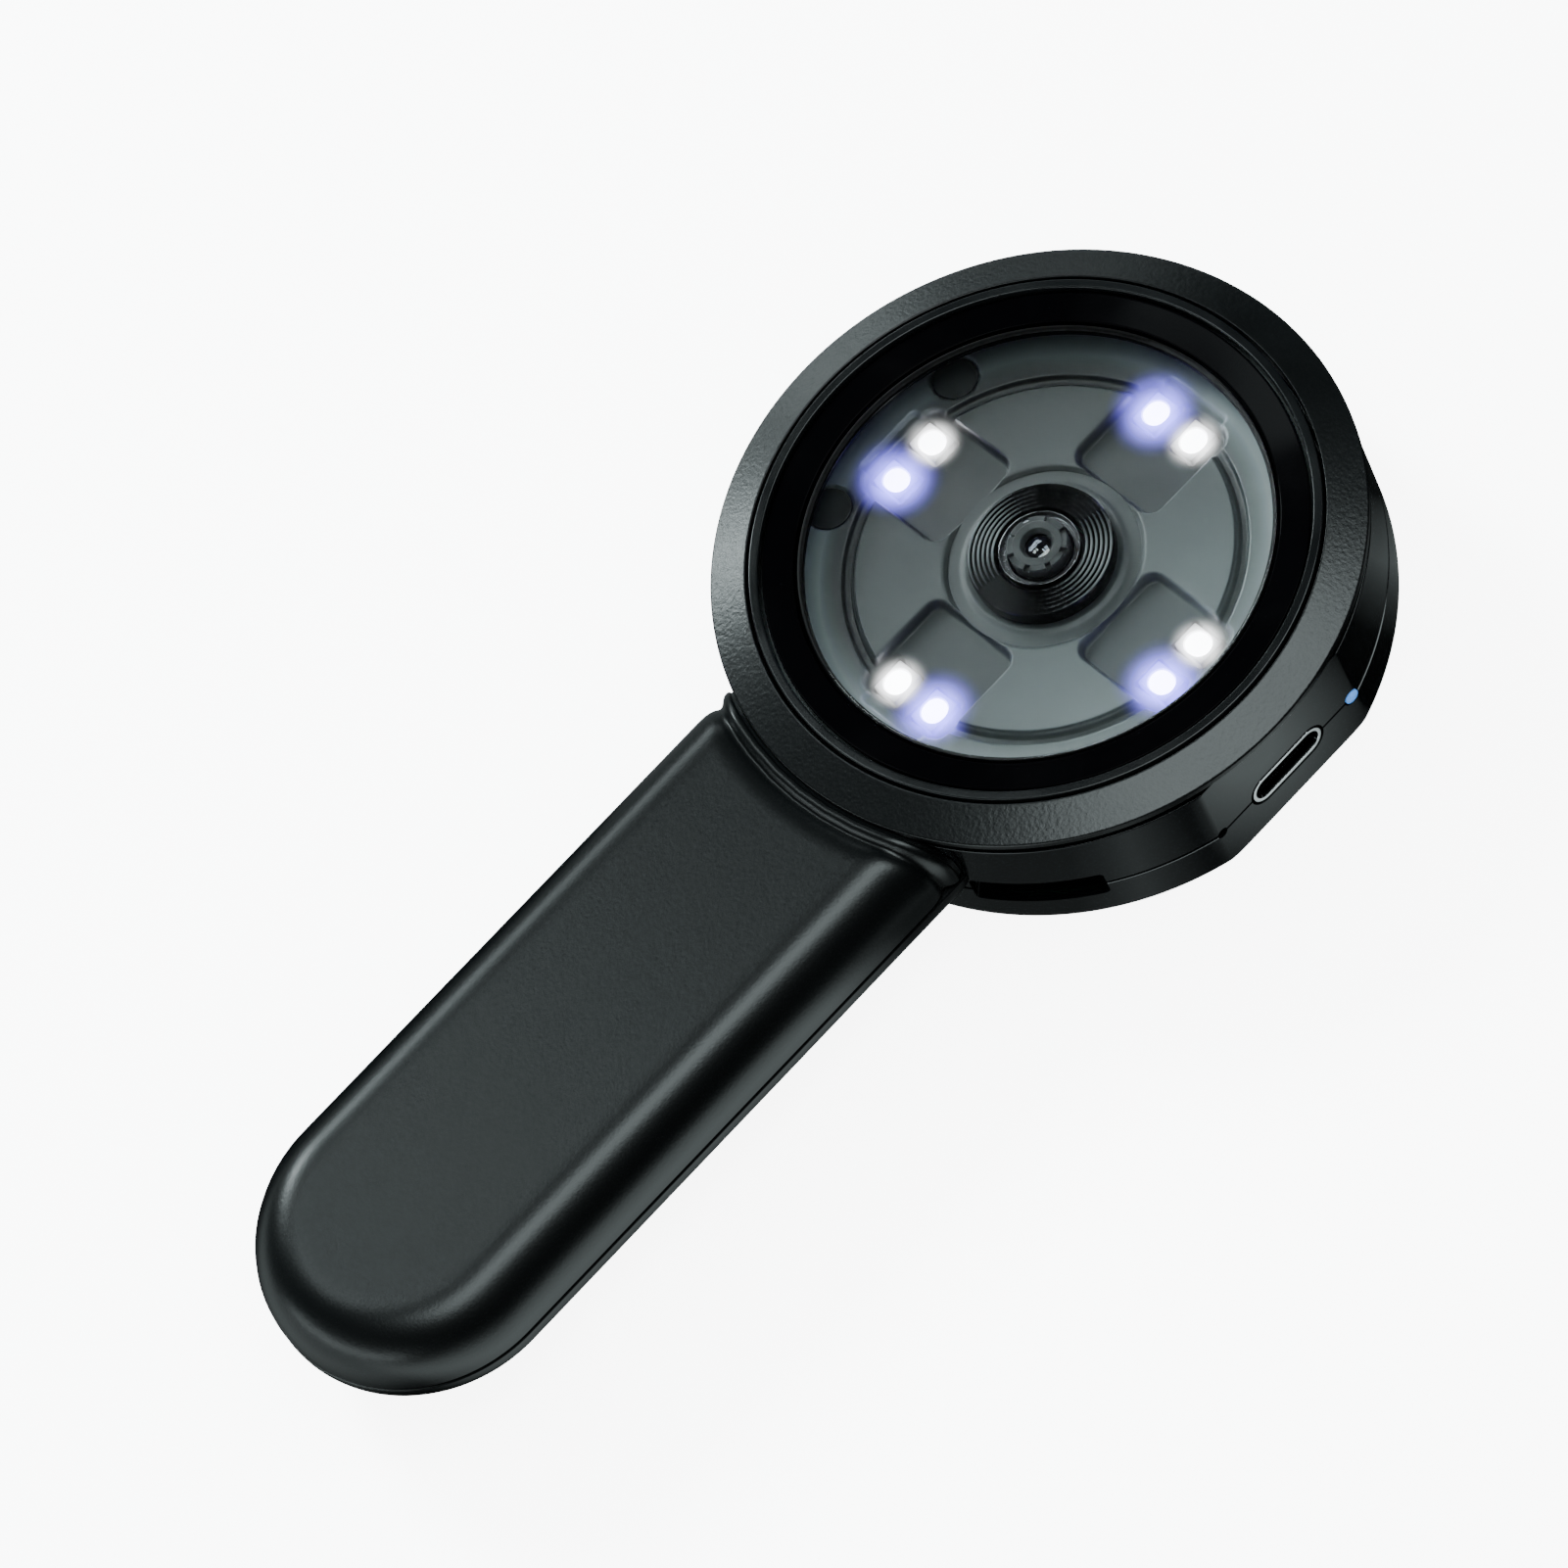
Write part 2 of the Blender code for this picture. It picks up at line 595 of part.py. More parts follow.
def flat_hole(name, x, radius):
    """A round hole through the flat, along Y, on the seam."""
    length = FLAT_WALL + 2 * OVERRUN
    place = (x, -FLAT_DISTANCE - OVERRUN, SEAM)
    return disc(name, radius, -length, 0, TINY_STEPS, place, (math.pi / 2, 0, 0), cutter=True)


def flat_pad(name, bottom, top):
    """Thickens the wall behind the flat."""
    half = FLAT_HALF + GAP
    low = (-half, -FLAT_DISTANCE + GAP, bottom)
    high = (half, -FLAT_INNER, top)
    return box(name, low, high, cutter=True)


shared_flat = flat_cutter("flat_face")
shared_slot = slot_cutter()
shared_port = port_cutter()
pipe_hole = flat_hole("pipe_hole", SIGNAL_X, PIPE_RADIUS + GAP)
pin_hole = flat_hole("pin_hole", -SIGNAL_X, PINHOLE_RADIUS)


def make_front_shell():
    profile = [
        (WALL_RADIUS - NECK_CUT, SHELL_TOP),
        (WALL_RADIUS - NECK_CUT, SHELL_TOP - NECK_DEPTH),
        (WALL_RADIUS, SHELL_TOP - NECK_DEPTH),
        (WALL_RADIUS, SEAM + GAP / 2),
        (WALL_BORE, SEAM + GAP / 2),
        (WALL_BORE, SHELF_BOTTOM),
        (SHELF_BORE, SHELF_BOTTOM),
        (SHELF_BORE, SHELF_TOP),
        (PLATE_SEAT, SHELF_TOP),
        (PLATE_SEAT, SHELL_TOP),
    ]
    shell = turned("head_front_shell", profile, COIN_STEPS)
    join(shell, flat_pad("front_pad", SEAM + GAP / 2, SHELF_BOTTOM + SHELF_THICKNESS / 2))
    bottom = SEAM + GAP / 2
    root = SHELF_BOTTOM + SHELF_THICKNESS / 2
    for number, (x, y) in enumerate(SIDE_BOSSES):
        join(shell, drilled_boss(f"side_boss_{number}", BOSS_RADIUS, bottom, root, SHELF_BOTTOM, x, y))
    for number, (x, y) in enumerate(PLATE_BOSSES):
        join(shell, pierced_boss(f"plate_boss_{number}", BOSS_RADIUS, bottom, root, x, y))
    cut(shell, shared_flat, shared_slot, shared_port, pipe_hole, pin_hole)
    half = TONGUE_HALF_WIDTH + GAP
    low = (-WALL_RADIUS - OVERRUN, -half, SEAM - OVERRUN)
    high = (-SHELF_BORE + OVERRUN, half, TONGUE_TOP + CABLE_SPACE)
    cut(shell, box("neck_notch", low, high, cutter=True))
    return finish(shell, (0.012, 0.013, 0.014), 0.25)


def make_rear_shell():
    inner = PANEL_HALF_WIDTH - PANEL_BORDER - OVERRUN
    top = SEAM - GAP / 2
    slope = FOOT_ROUND * math.sin(math.radians(45))
    profile = [
        (WALL_RADIUS, top),
        (WALL_RADIUS, FOOT_ROUND),
        (WALL_RADIUS - FOOT_ROUND + slope, FOOT_ROUND - slope),
        (WALL_RADIUS - FOOT_ROUND, 0),
        (COUNTERBORE, 0),
        (COUNTERBORE, FLOOR_BOTTOM),
        (inner, FLOOR_BOTTOM),
        (inner, FLOOR_TOP),
        (WALL_BORE, FLOOR_TOP),
        (WALL_BORE, top),
    ]
    shell = turned("head_rear_shell", profile, COIN_STEPS)
    middle = (FLOOR_BOTTOM + FLOOR_TOP) / 2
    join(shell, flat_pad("rear_pad", middle, top))
    for number, (x, y) in enumerate(HEAD_BOSSES):
        boss = disc(f"rear_boss_{number}", BOSS_RADIUS, middle, top, SMALL_STEPS, (x, y, 0), cutter=True)
        join(shell, boss)
    for number, (x, y) in enumerate(POSTS):
        post = disc(f"board_post_{number}", POST_RADIUS, middle, BOARD_BOTTOM - GAP, TINY_STEPS,
                    (x, y, 0), cutter=True)
        join(shell, post)
    for number, y in enumerate((TONGUE_SCREW_Y, -TONGUE_SCREW_Y)):
        join(shell, drilled_post(f"tongue_post_{number}", TONGUE_BOSS_RADIUS, middle, TONGUE_BOTTOM - GAP,
                                 FLOOR_TOP + GAP, -TONGUE_SCREW_X, y))
    half_x = PANEL_HALF_LENGTH - PANEL_BORDER
    half_y = PANEL_HALF_WIDTH - PANEL_BORDER
    low = (-half_x, -half_y, FLOOR_BOTTOM - GAP)
    view = box("display_opening", low, (half_x, half_y, FLOOR_TOP + OVERRUN), cutter=True)
    cut(shell, view, shared_flat, shared_slot, shared_port, pipe_hole, pin_hole)
    seat = FLOOR_BOTTOM + SCREW_HEAD_HEIGHT + GAP
    layers = [(SCREW_HOLE, SEAM + OVERRUN, seat), (SCREW_HEAD_RADIUS + GAP, seat, FLOOR_BOTTOM - GAP)]
    for number, (x, y) in enumerate(HEAD_BOSSES):
        cut(shell, stack(f"rear_hole_{number}", layers, x, y))
    return finish(shell, (0.012, 0.013, 0.014), 0.25)


def make_bezel():
    inner_top = FACE + BEZEL_RISE
    profile = [
        (BEZEL_RADIUS - EDGE_ROUND, FACE + EDGE_ROUND / 3),
        (BEZEL_RADIUS, FACE - EDGE_ROUND),
        (BEZEL_RADIUS, BEZEL_BOTTOM),
        (BEZEL_BORE, BEZEL_BOTTOM),
        (BEZEL_BORE, inner_top - EDGE_ROUND),
        (BEZEL_BORE + EDGE_ROUND, inner_top),
    ]
    return finish(turned("front_bezel", profile, COIN_STEPS), (0.035, 0.037, 0.038), 0.45)


def make_lip_ring():
    top = FACE + BEZEL_RISE + LIP_STAND
    profile = [
        (LIP_RADIUS - EDGE_ROUND, top),
        (LIP_RADIUS, top - EDGE_ROUND),
        (LIP_RADIUS, BEZEL_BOTTOM),
        (LIP_BORE, BEZEL_BOTTOM),
        (LIP_BORE, top - 2 * EDGE_ROUND),
        (LIP_BORE + EDGE_ROUND, top),
    ]
    return finish(turned("bezel_lip_ring", profile, COIN_STEPS), (0.03, 0.031, 0.033), 0.4)


def make_mask_ring():
    profile = [
        (MASK_RADIUS, WINDOW_TOP + MASK_FALL),
        (MASK_RADIUS, BEZEL_BOTTOM),
        (MASK_BORE, BEZEL_BOTTOM),
        (MASK_BORE, LEDGE_TOP),
        (MASK_SEAT, LEDGE_TOP),
        (MASK_SEAT, WINDOW_TOP),
    ]
    return finish(turned("window_mask_ring", profile, COIN_STEPS), (0.003, 0.003, 0.003), 0.08)


def make_window():
    profile = [
        (0, WINDOW_TOP),
        (WINDOW_RADIUS - WINDOW_CHAMFER, WINDOW_TOP),
        (WINDOW_RADIUS, WINDOW_TOP - WINDOW_CHAMFER),
        (WINDOW_RADIUS, WINDOW_BOTTOM),
        (0, WINDOW_BOTTOM),
    ]
    glass = turned("window_glass", profile, COIN_STEPS, closed=False)
    return finish(glass, (0.95, 0.97, 0.98), 0.02, transmission=1.0)


def plate_profile():
    groove_in = GROOVE_RADIUS - GROOVE_WIDTH / 2
    groove_out = GROOVE_RADIUS + GROOVE_WIDTH / 2
    sector_in = HUB_RADIUS + SECTOR_MARGIN
    sector_out = groove_in - SECTOR_MARGIN
    return [
        (PLATE_RADIUS, SHELL_TOP),
        (PLATE_RADIUS, PLATE_BOTTOM),
        (HUB_BORE - SEAT_WIDTH, PLATE_BOTTOM),
        (HUB_BORE - SEAT_WIDTH, PLATE_FACE - SEAT_DROP),
        (HUB_BORE, PLATE_FACE - SEAT_DROP),
        (HUB_BORE, PLATE_FACE + HUB_HEIGHT),
        (HUB_BORE + HUB_TOP_WIDTH, PLATE_FACE + HUB_HEIGHT),
        (HUB_RADIUS, PLATE_FACE),
        (sector_in, PLATE_FACE),
        (sector_in, PLATE_FACE + SECTOR_STAND),
        (sector_out, PLATE_FACE + SECTOR_STAND),
        (sector_out, PLATE_FACE),
        (groove_in, PLATE_FACE),
        (groove_in, PLATE_FACE - GROOVE_DEPTH),
        (groove_out, PLATE_FACE - GROOVE_DEPTH),
        (groove_out, PLATE_FACE),
        (RIM_RADIUS, PLATE_FACE),
        (RIM_RADIUS, SHELL_TOP),
    ]


def make_light_plate():
    plate = turned("light_plate", plate_profile(), COIN_STEPS)
    top = FACE
    reach = GROOVE_RADIUS + POCKET_REACH
    half = POCKET_WIDTH / 2
    for number in range(4):
        turn = (0, 0, number * math.pi / 2)
        low = (HUB_RADIUS, -half, PLATE_BOTTOM + POCKET_FLOOR)
        pocket = box(f"pocket_{number}", low, (reach, half, top), turn=turn, cutter=True)
        round_corners(pocket, POCKET_ROUND, CORNER_SEGMENTS)
        notch = box(f"notch_{number}", (reach - POCKET_ROUND, -NOTCH_WIDTH / 2, PLATE_FACE - NOTCH_DEPTH),
                    (reach + NOTCH_REACH, NOTCH_WIDTH / 2, top), turn=turn, cutter=True)
        cut(plate, pocket, notch)
        for side in (1, -1):
            middle = side * LED_PITCH / 2
            along = LED_LENGTH / 2 + GAP
            across = LED_WIDTH / 2 + GAP
            low = (LED_RING_RADIUS - along, middle - across, PLATE_BOTTOM - OVERRUN)
            high = (LED_RING_RADIUS + along, middle + across, PLATE_FACE)
            cut(plate, box(f"led_hole_{number}_{side}", low, high, turn=turn, cutter=True))
    floor = PLATE_BOTTOM + RECESS_FLOOR
    layers = [(RECESS_RADIUS, top, floor), (SCREW_HOLE, floor, PLATE_BOTTOM - OVERRUN)]
    for number, (x, y) in enumerate(PLATE_BOSSES):
        cut(plate, stack(f"recess_{number}", layers, x, y))
    return finish(plate, (0.19, 0.2, 0.2), 0.5)


def make_led_board():
    board = tube("led_board", LED_BOARD_BORE, LED_BOARD_RADIUS, LED_BOARD_BOTTOM, LED_BOARD_TOP, HIDDEN_STEPS)
    for number, (x, y) in enumerate(HEAD_BOSSES):
        notch = disc(f"led_board_notch_{number}", BOSS_RADIUS + GAP, LED_BOARD_BOTTOM - OVERRUN,
                     LED_BOARD_TOP + OVERRUN, SMALL_STEPS, (x, y, 0), cutter=True)
        cut(board, notch)
    return finish(board, (0.6, 0.62, 0.6), 0.5)


def make_leds():
    bottom = LED_BOARD_TOP + GAP
    number = 0
    for quarter in range(4):
        for side in (1, -1):
            number += 1
            middle = side * LED_PITCH / 2
            low = (LED_RING_RADIUS - LED_LENGTH / 2, middle - LED_WIDTH / 2, bottom)
            high = (LED_RING_RADIUS + LED_LENGTH / 2, middle + LED_WIDTH / 2, bottom + LED_HEIGHT)
            led = box(f"led_{number}", low, high, turn=(0, 0, quarter * math.pi / 2))
            finish(led, (0.95, 0.97, 1.0), 0.3, glow=4.0)


def shroud_profile():
    """Outer wall, seat, bore and a face of concentric ridges."""
    seat = PLATE_FACE - SEAT_DROP + GAP
    profile = [(SHROUD_RADIUS, SHROUD_TOP), (SHROUD_RADIUS, seat), (SHROUD_BORE, seat)]
    profile.append((SHROUD_BORE, SHROUD_TOP + SHROUD_RISE))
    span = SHROUD_RADIUS - SHROUD_BORE
    for step in range(1, RIDGE_COUNT * 2):
        share = step / (RIDGE_COUNT * 2)
        depth = RIDGE_DEPTH if step % 2 else 0
        profile.append((SHROUD_BORE + share * span, SHROUD_TOP + SHROUD_RISE * (1 - share) - depth))
    return profile


def make_lens():
    shroud = turned("lens_shroud", shroud_profile(), HIDDEN_STEPS)
    finish(shroud, (0.008, 0.008, 0.009), 0.3)
    ring_bore = BARREL_RADIUS + GAP
    ring = tube("lens_retaining_ring", ring_bore, ring_bore + RING_WIDTH, RING_BOTTOM, RING_TOP, HIDDEN_STEPS)
    finish(ring, (0.5, 0.5, 0.5), 0.25, 1.0)
    bottom = SENSOR_TOP + FOCUS_SPACE
    barrel = tube("lens_barrel", BARREL_BORE, BARREL_RADIUS, bottom, BARREL_TOP, SMALL_STEPS)
    finish(barrel, (0.01, 0.01, 0.011), 0.4)
    make_nut()
    make_front_lens()


def make_nut():
    lens_room = BARREL_BORE
    roof = NUT_TOP - NUT_NOTCH
    profile = [
        (BARREL_RADIUS, NUT_TOP),
        (BARREL_RADIUS, NUT_BOTTOM),
        (lens_room, NUT_BOTTOM),
        (lens_room, NUT_BOTTOM + LENS_CROWN),
        (NUT_THROAT, roof),
        (NUT_MOUTH, NUT_TOP),
    ]
    nut = turned("lens_nut", profile, SMALL_STEPS)
    for number in range(NUT_NOTCH_COUNT):
        turn = (0, 0, 2 * math.pi * number / NUT_NOTCH_COUNT)
        low = (BARREL_RADIUS - NUT_NOTCH, -NUT_NOTCH / 2, roof)
        high = (BARREL_RADIUS + OVERRUN, NUT_NOTCH / 2, NUT_TOP + OVERRUN)
        cut(nut, box(f"nut_notch_{number}", low, high, turn=turn, cutter=True))
    return finish(nut, (0.03, 0.03, 0.032), 0.4)


def make_front_lens():
    """A plano-convex element in the mouth of the barrel, under the nut."""
    radius = BARREL_BORE - GAP
    base = NUT_BOTTOM - LENS_RIM
    profile = [(0, NUT_BOTTOM + LENS_CROWN)]
    for step in range(1, 6):
        angle = math.pi / 2 * step / 6
        profile.append((radius * math.sin(angle), NUT_BOTTOM + LENS_CROWN * math.cos(angle)))
    profile += [(radius, NUT_BOTTOM), (radius, base), (0, base)]
    lens = turned("lens_front_element", profile, SMALL_STEPS, closed=False)
    return finish(lens, (0.9, 0.92, 1.0), 0.02, transmission=1.0)


def make_camera():
    half = CAMERA_BOARD_SIDE / 2
    board = box("camera_board", (-half, -half, BOARD_TOP + GAP), (half, half, CAMERA_BOARD_TOP))
    finish(board, (0.02, 0.12, 0.05), 0.4)
    half = SENSOR_SIDE / 2
    sensor = box("image_sensor", (-half, -half, CAMERA_BOARD_TOP + GAP), (half, half, SENSOR_TOP))
    finish(sensor, (0.05, 0.05, 0.06), 0.2)
    half = HOLDER_SIDE / 2
    bottom = CAMERA_BOARD_TOP + GAP
    roof = SENSOR_TOP + GAP + HOLDER_ROOF
    holder = box("camera_holder", (-half, -half, bottom), (half, half, roof))
    root = roof - HOLDER_ROOF / 2
    join(holder, disc("holder_sleeve", SLEEVE_RADIUS, root, SLEEVE_TOP, SMALL_STEPS, cutter=True))
    inner = half - HOLDER_WALL
    low = (-inner, -inner, bottom - OVERRUN)
    cut(holder, box("holder_room", low, (inner, inner, SENSOR_TOP + GAP), cutter=True))
    bore = BARREL_RADIUS + GAP
    cut(holder, disc("holder_bore", bore, SENSOR_TOP, SLEEVE_TOP + OVERRUN, SMALL_STEPS, cutter=True))
    return finish(holder, (0.015, 0.015, 0.016), 0.5)


def make_main_board():
    radius = WALL_BORE - BOARD_MARGIN
    board = disc("main_board", radius, BOARD_BOTTOM, BOARD_TOP, HIDDEN_STEPS)
    reach = radius + OVERRUN
    bottom = BOARD_BOTTOM - OVERRUN
    top = BOARD_TOP + OVERRUN
    back = box("board_back_edge", (-reach, PANEL_HALF_WIDTH, bottom), (reach, reach, top), cutter=True)
    cut(board, back)
    cut(board, box("board_port_edge", (-reach, -reach, bottom), (reach, -FLAT_INNER + GAP, top), cutter=True))
    neck = TONGUE_HALF_WIDTH + GAP + PART_SPACE
    edge = TONGUE_INNER - GAP - PART_SPACE
    cut(board, box("board_neck_edge", (-reach, -neck, bottom), (-edge, neck, top), cutter=True))
    for number, (x, y) in enumerate(SIDE_BOSSES):
        name = f"board_hole_{number}"
        cut(board, disc(name, BOSS_RADIUS + GAP, bottom, top, SMALL_STEPS, (x, y, 0), cutter=True))
    return finish(board, (0.02, 0.12, 0.05), 0.4)


def make_port():
    outline = stadium(PORT_WIDTH, PORT_HEIGHT, TINY_STEPS)
    place = (0, -FLAT_DISTANCE, SEAM)
    turn = (math.pi / 2, 0, 0)
    shell = slab("usb_c_shell", outline, -PORT_LENGTH, 0, place, turn)
    inner = stadium(PORT_WIDTH - 2 * PORT_SHEET, PORT_HEIGHT - 2 * PORT_SHEET, TINY_STEPS)
    cut(shell, slab("usb_c_room", inner, -PORT_LENGTH + PORT_SHEET, OVERRUN, place, turn, cutter=True))
    finish(shell, (0.75, 0.76, 0.78), 0.2, 1.0)
    half = PORT_TONGUE_WIDTH / 2
    thick = PORT_TONGUE_THICKNESS / 2
    back = -FLAT_DISTANCE + PORT_LENGTH - PORT_SHEET - GAP
    tongue = box("usb_c_tongue", (-half, back - PORT_TONGUE_LENGTH, SEAM - thick), (half, back, SEAM + thick))
    return finish(tongue, (0.02, 0.02, 0.02), 0.4)


def make_signals():
    """Light pipe of the indicator, and the reset switch behind its pinhole."""
    front = -FLAT_DISTANCE - PIPE_STAND
    turn = (math.pi / 2, 0, 0)
    place = (SIGNAL_X, front, SEAM)
    pipe = disc("indicator_light_pipe", PIPE_RADIUS, -PIPE_LENGTH, 0, TINY_STEPS, place, turn)
    finish(pipe, (0.35, 0.55, 0.9), 0.2, glow=0.6)
    tip = -FLAT_DISTANCE + RESET_SETBACK
    room = RESET_RADIUS + GAP
    plunger_length = RESET_REACH + RESET_TRAVEL + GAP
    face = tip + RESET_REACH
    place = (-SIGNAL_X, tip, SEAM)
    plunger = disc("reset_plunger", RESET_RADIUS, -plunger_length, 0, TINY_STEPS, place, turn)
    finish(plunger, (0.6, 0.6, 0.62), 0.4)
    half = RESET_SIDE / 2
    low = (-SIGNAL_X - half, face, SEAM - half)
    high = (-SIGNAL_X + half, face + RESET_DEPTH, SEAM + PORT_HEIGHT / 2)
    switch = box("reset_switch", low, high)
    depth = plunger_length - RESET_REACH + RESET_TRAVEL + GAP
    bore = disc("reset_bore", room, -depth, OVERRUN, TINY_STEPS, (-SIGNAL_X, face, SEAM), turn, cutter=True)
    cut(switch, bore)
    return finish(switch, (0.5, 0.5, 0.52), 0.3, 1.0)


def make_card_socket():
    half = SOCKET_WIDTH / 2
    outer = WALL_BORE - SOCKET_MARGIN
    turn = (0, 0, math.pi + SLOT_ANGLE)
    low = (outer - SOCKET_LENGTH, -half, SOCKET_BOTTOM)
    socket = box("card_socket", low, (outer, half, SOCKET_TOP), turn=turn)
    low = (outer - SOCKET_LENGTH + SOCKET_SHEET, -half + SOCKET_SHEET, SOCKET_BOTTOM + SOCKET_SHEET)
    high = (outer + OVERRUN, half - SOCKET_SHEET, SOCKET_TOP - SOCKET_SHEET)
    cut(socket, box("socket_room", low, high, turn=turn, cutter=True))
    return finish(socket, (0.6, 0.6, 0.62), 0.3, 1.0)


def make_display():
    high = (PANEL_HALF_LENGTH, PANEL_HALF_WIDTH, PANEL_TOP)
    panel = box("display_panel", (-PANEL_HALF_LENGTH, -PANEL_HALF_WIDTH, PANEL_BOTTOM), high)
    finish(panel, (0.02, 0.02, 0.025), 0.1)
    high = (TRAY_HALF_LENGTH, TRAY_HALF_WIDTH, TRAY_TOP)
    tray = box("display_tray", (-TRAY_HALF_LENGTH, -TRAY_HALF_WIDTH, PANEL_BOTTOM), high)
    inner_x = PANEL_HALF_LENGTH + GAP
    inner_y = PANEL_HALF_WIDTH + GAP
    low = (-inner_x, -inner_y, PANEL_BOTTOM - OVERRUN)
    cut(tray, box("tray_room", low, (inner_x, inner_y, PANEL_TOP + GAP), cutter=True))
    finish(tray, (0.55, 0.56, 0.58), 0.35, 1.0)
    glass = disc("display_cover_glass", COVER_RADIUS, COVER_BOTTOM, COVER_TOP, COIN_STEPS)
    return finish(glass, (0.01, 0.01, 0.012), 0.03)


def make_head_screws():
    seat = FLOOR_BOTTOM + SCREW_HEAD_HEIGHT
    length = BOARD_BOTTOM - seat
    for number, (x, y) in enumerate(HEAD_BOSSES):
        machine_screw(f"head_screw_{number + 1}", x, y, seat, length, head_up=False)
    seat = PLATE_BOTTOM + RECESS_FLOOR + GAP
    length = seat - BOARD_TOP
    for number, (x, y) in enumerate(PLATE_BOSSES):
        machine_screw(f"plate_screw_{number + 1}", x, y, seat, length, head_up=True)
    seat = TONGUE_TOP + GAP
    length = seat - FLOOR_TOP - 2 * GAP
    for number, y in enumerate((TONGUE_SCREW_Y, -TONGUE_SCREW_Y)):
        machine_screw(f"neck_screw_{number + 1}", -TONGUE_SCREW_X, y, seat, length, head_up=True)


def handle_outline(inset, root):
    """Outline of the handle, drawn in by an inset, with a round far end."""
    half = HANDLE_HALF_WIDTH - inset
    points = [(-root, -half), (-root, half)]
    for step in range(END_STEPS + 1):
        angle = math.pi / 2 + math.pi * step / END_STEPS
        points.append((-END_X + half * math.cos(angle), half * math.sin(angle)))
    return points


def head_clearance(name):
    """The room that the head takes out of the handle's shells."""
    return disc(name, HANDLE_START, -OVERRUN, FACE + BEZEL_RISE, COIN_STEPS, cutter=True)


def make_handle_top():
    bottom = PARTING + GAP / 2
    shell = slab("handle_top_shell", handle_outline(0, HANDLE_ROOT), bottom, FACE)
    round_edges(shell, FACE, SHOULDER_ROUND, ROUND_SEGMENTS)
    room = slab("handle_top_room", handle_outline(HANDLE_WALL, HANDLE_ROOT - OVERRUN), bottom - OVERRUN,
                HANDLE_CEILING, cutter=True)
    round_edges(room, HANDLE_CEILING, SHOULDER_ROUND - HANDLE_WALL, UNDER_SEGMENTS)
    cut(shell, room)
    inner = HANDLE_START + BAND_WIDTH
    outer = inner + BAND_GROOVE_WIDTH
    profile = [(outer, FACE + OVERRUN), (outer, FACE - BAND_GROOVE_DEPTH), (inner, FACE - BAND_GROOVE_DEPTH),
               (inner, FACE + OVERRUN)]
    cut(shell, turned("band_groove", profile, COIN_STEPS, cutter=True), head_clearance("top_clearance"))
    seat = HANDLE_FLOOR + HANDLE_PAD_HEIGHT + GAP
    root = HANDLE_CEILING + HANDLE_WALL / 2
    hole_top = seat + SCREW_LENGTH + GAP
    for number, x in enumerate((NEAR_BOSS_X, FAR_BOSS_X)):
        join(shell, drilled_boss(f"handle_boss_{number}", HANDLE_BOSS_RADIUS, seat, root, hole_top, -x, 0))
    return finish(shell, (0.03, 0.033, 0.034), 0.45)


def button_places():
    """Name and place of each button, from the head towards the handle's end."""
    near = -CLUSTER_X + BUTTON_PITCH / 2
    far = -CLUSTER_X - BUTTON_PITCH / 2
    side = BUTTON_PITCH / 2
    return (("power_button", near, side), ("capture_button", near, -side),
            ("zoom_in_button", far, side), ("zoom_out_button", far, -side))


def make_handle_bottom():
    top = PARTING - GAP / 2
    shell = slab("handle_bottom_shell", handle_outline(0, HANDLE_ROOT), HANDLE_BOTTOM, top)
    round_edges(shell, HANDLE_BOTTOM, UNDER_ROUND, UNDER_SEGMENTS)
    room = slab("handle_bottom_room", handle_outline(HANDLE_WALL, HANDLE_ROOT - OVERRUN), HANDLE_FLOOR,
                top + OVERRUN, cutter=True)
    round_edges(room, HANDLE_FLOOR, UNDER_ROUND - HANDLE_WALL, INNER_SEGMENTS)
    cut(shell, room, head_clearance("bottom_clearance"))
    tongue = box("neck_tongue", (-TONGUE_OUTER, -TONGUE_HALF_WIDTH, TONGUE_BOTTOM),
                 (-TONGUE_INNER, TONGUE_HALF_WIDTH, TONGUE_TOP), cutter=True)
    join(shell, tongue)
    middle = (HANDLE_BOTTOM + HANDLE_FLOOR) / 2
    for number, y in enumerate((STAKE_Y, 0, -STAKE_Y)):
        join(shell, board_stake(f"stake_{number}", y, middle, pinned=y != 0))
    cut_handle_bottom(shell, middle)
    return finish(shell, (0.03, 0.033, 0.034), 0.45)


def board_stake(name, y, bottom, pinned):
    """A post under the button board. The outer two have a pin that holds the board."""
    seat = BUTTON_BOARD_BOTTOM - GAP
    profile = [(STAKE_RADIUS, seat), (STAKE_RADIUS, bottom), (0, bottom)]
    if pinned:
        tip = BUTTON_BOARD_TOP + GAP
        profile = [(0, tip), (STAKE_PIN_RADIUS, tip), (STAKE_PIN_RADIUS, seat)] + profile
    else:
        profile = [(0, seat)] + profile
    return turned(name, profile, SMALL_STEPS, (-CLUSTER_X, y, 0), cutter=True, closed=False)


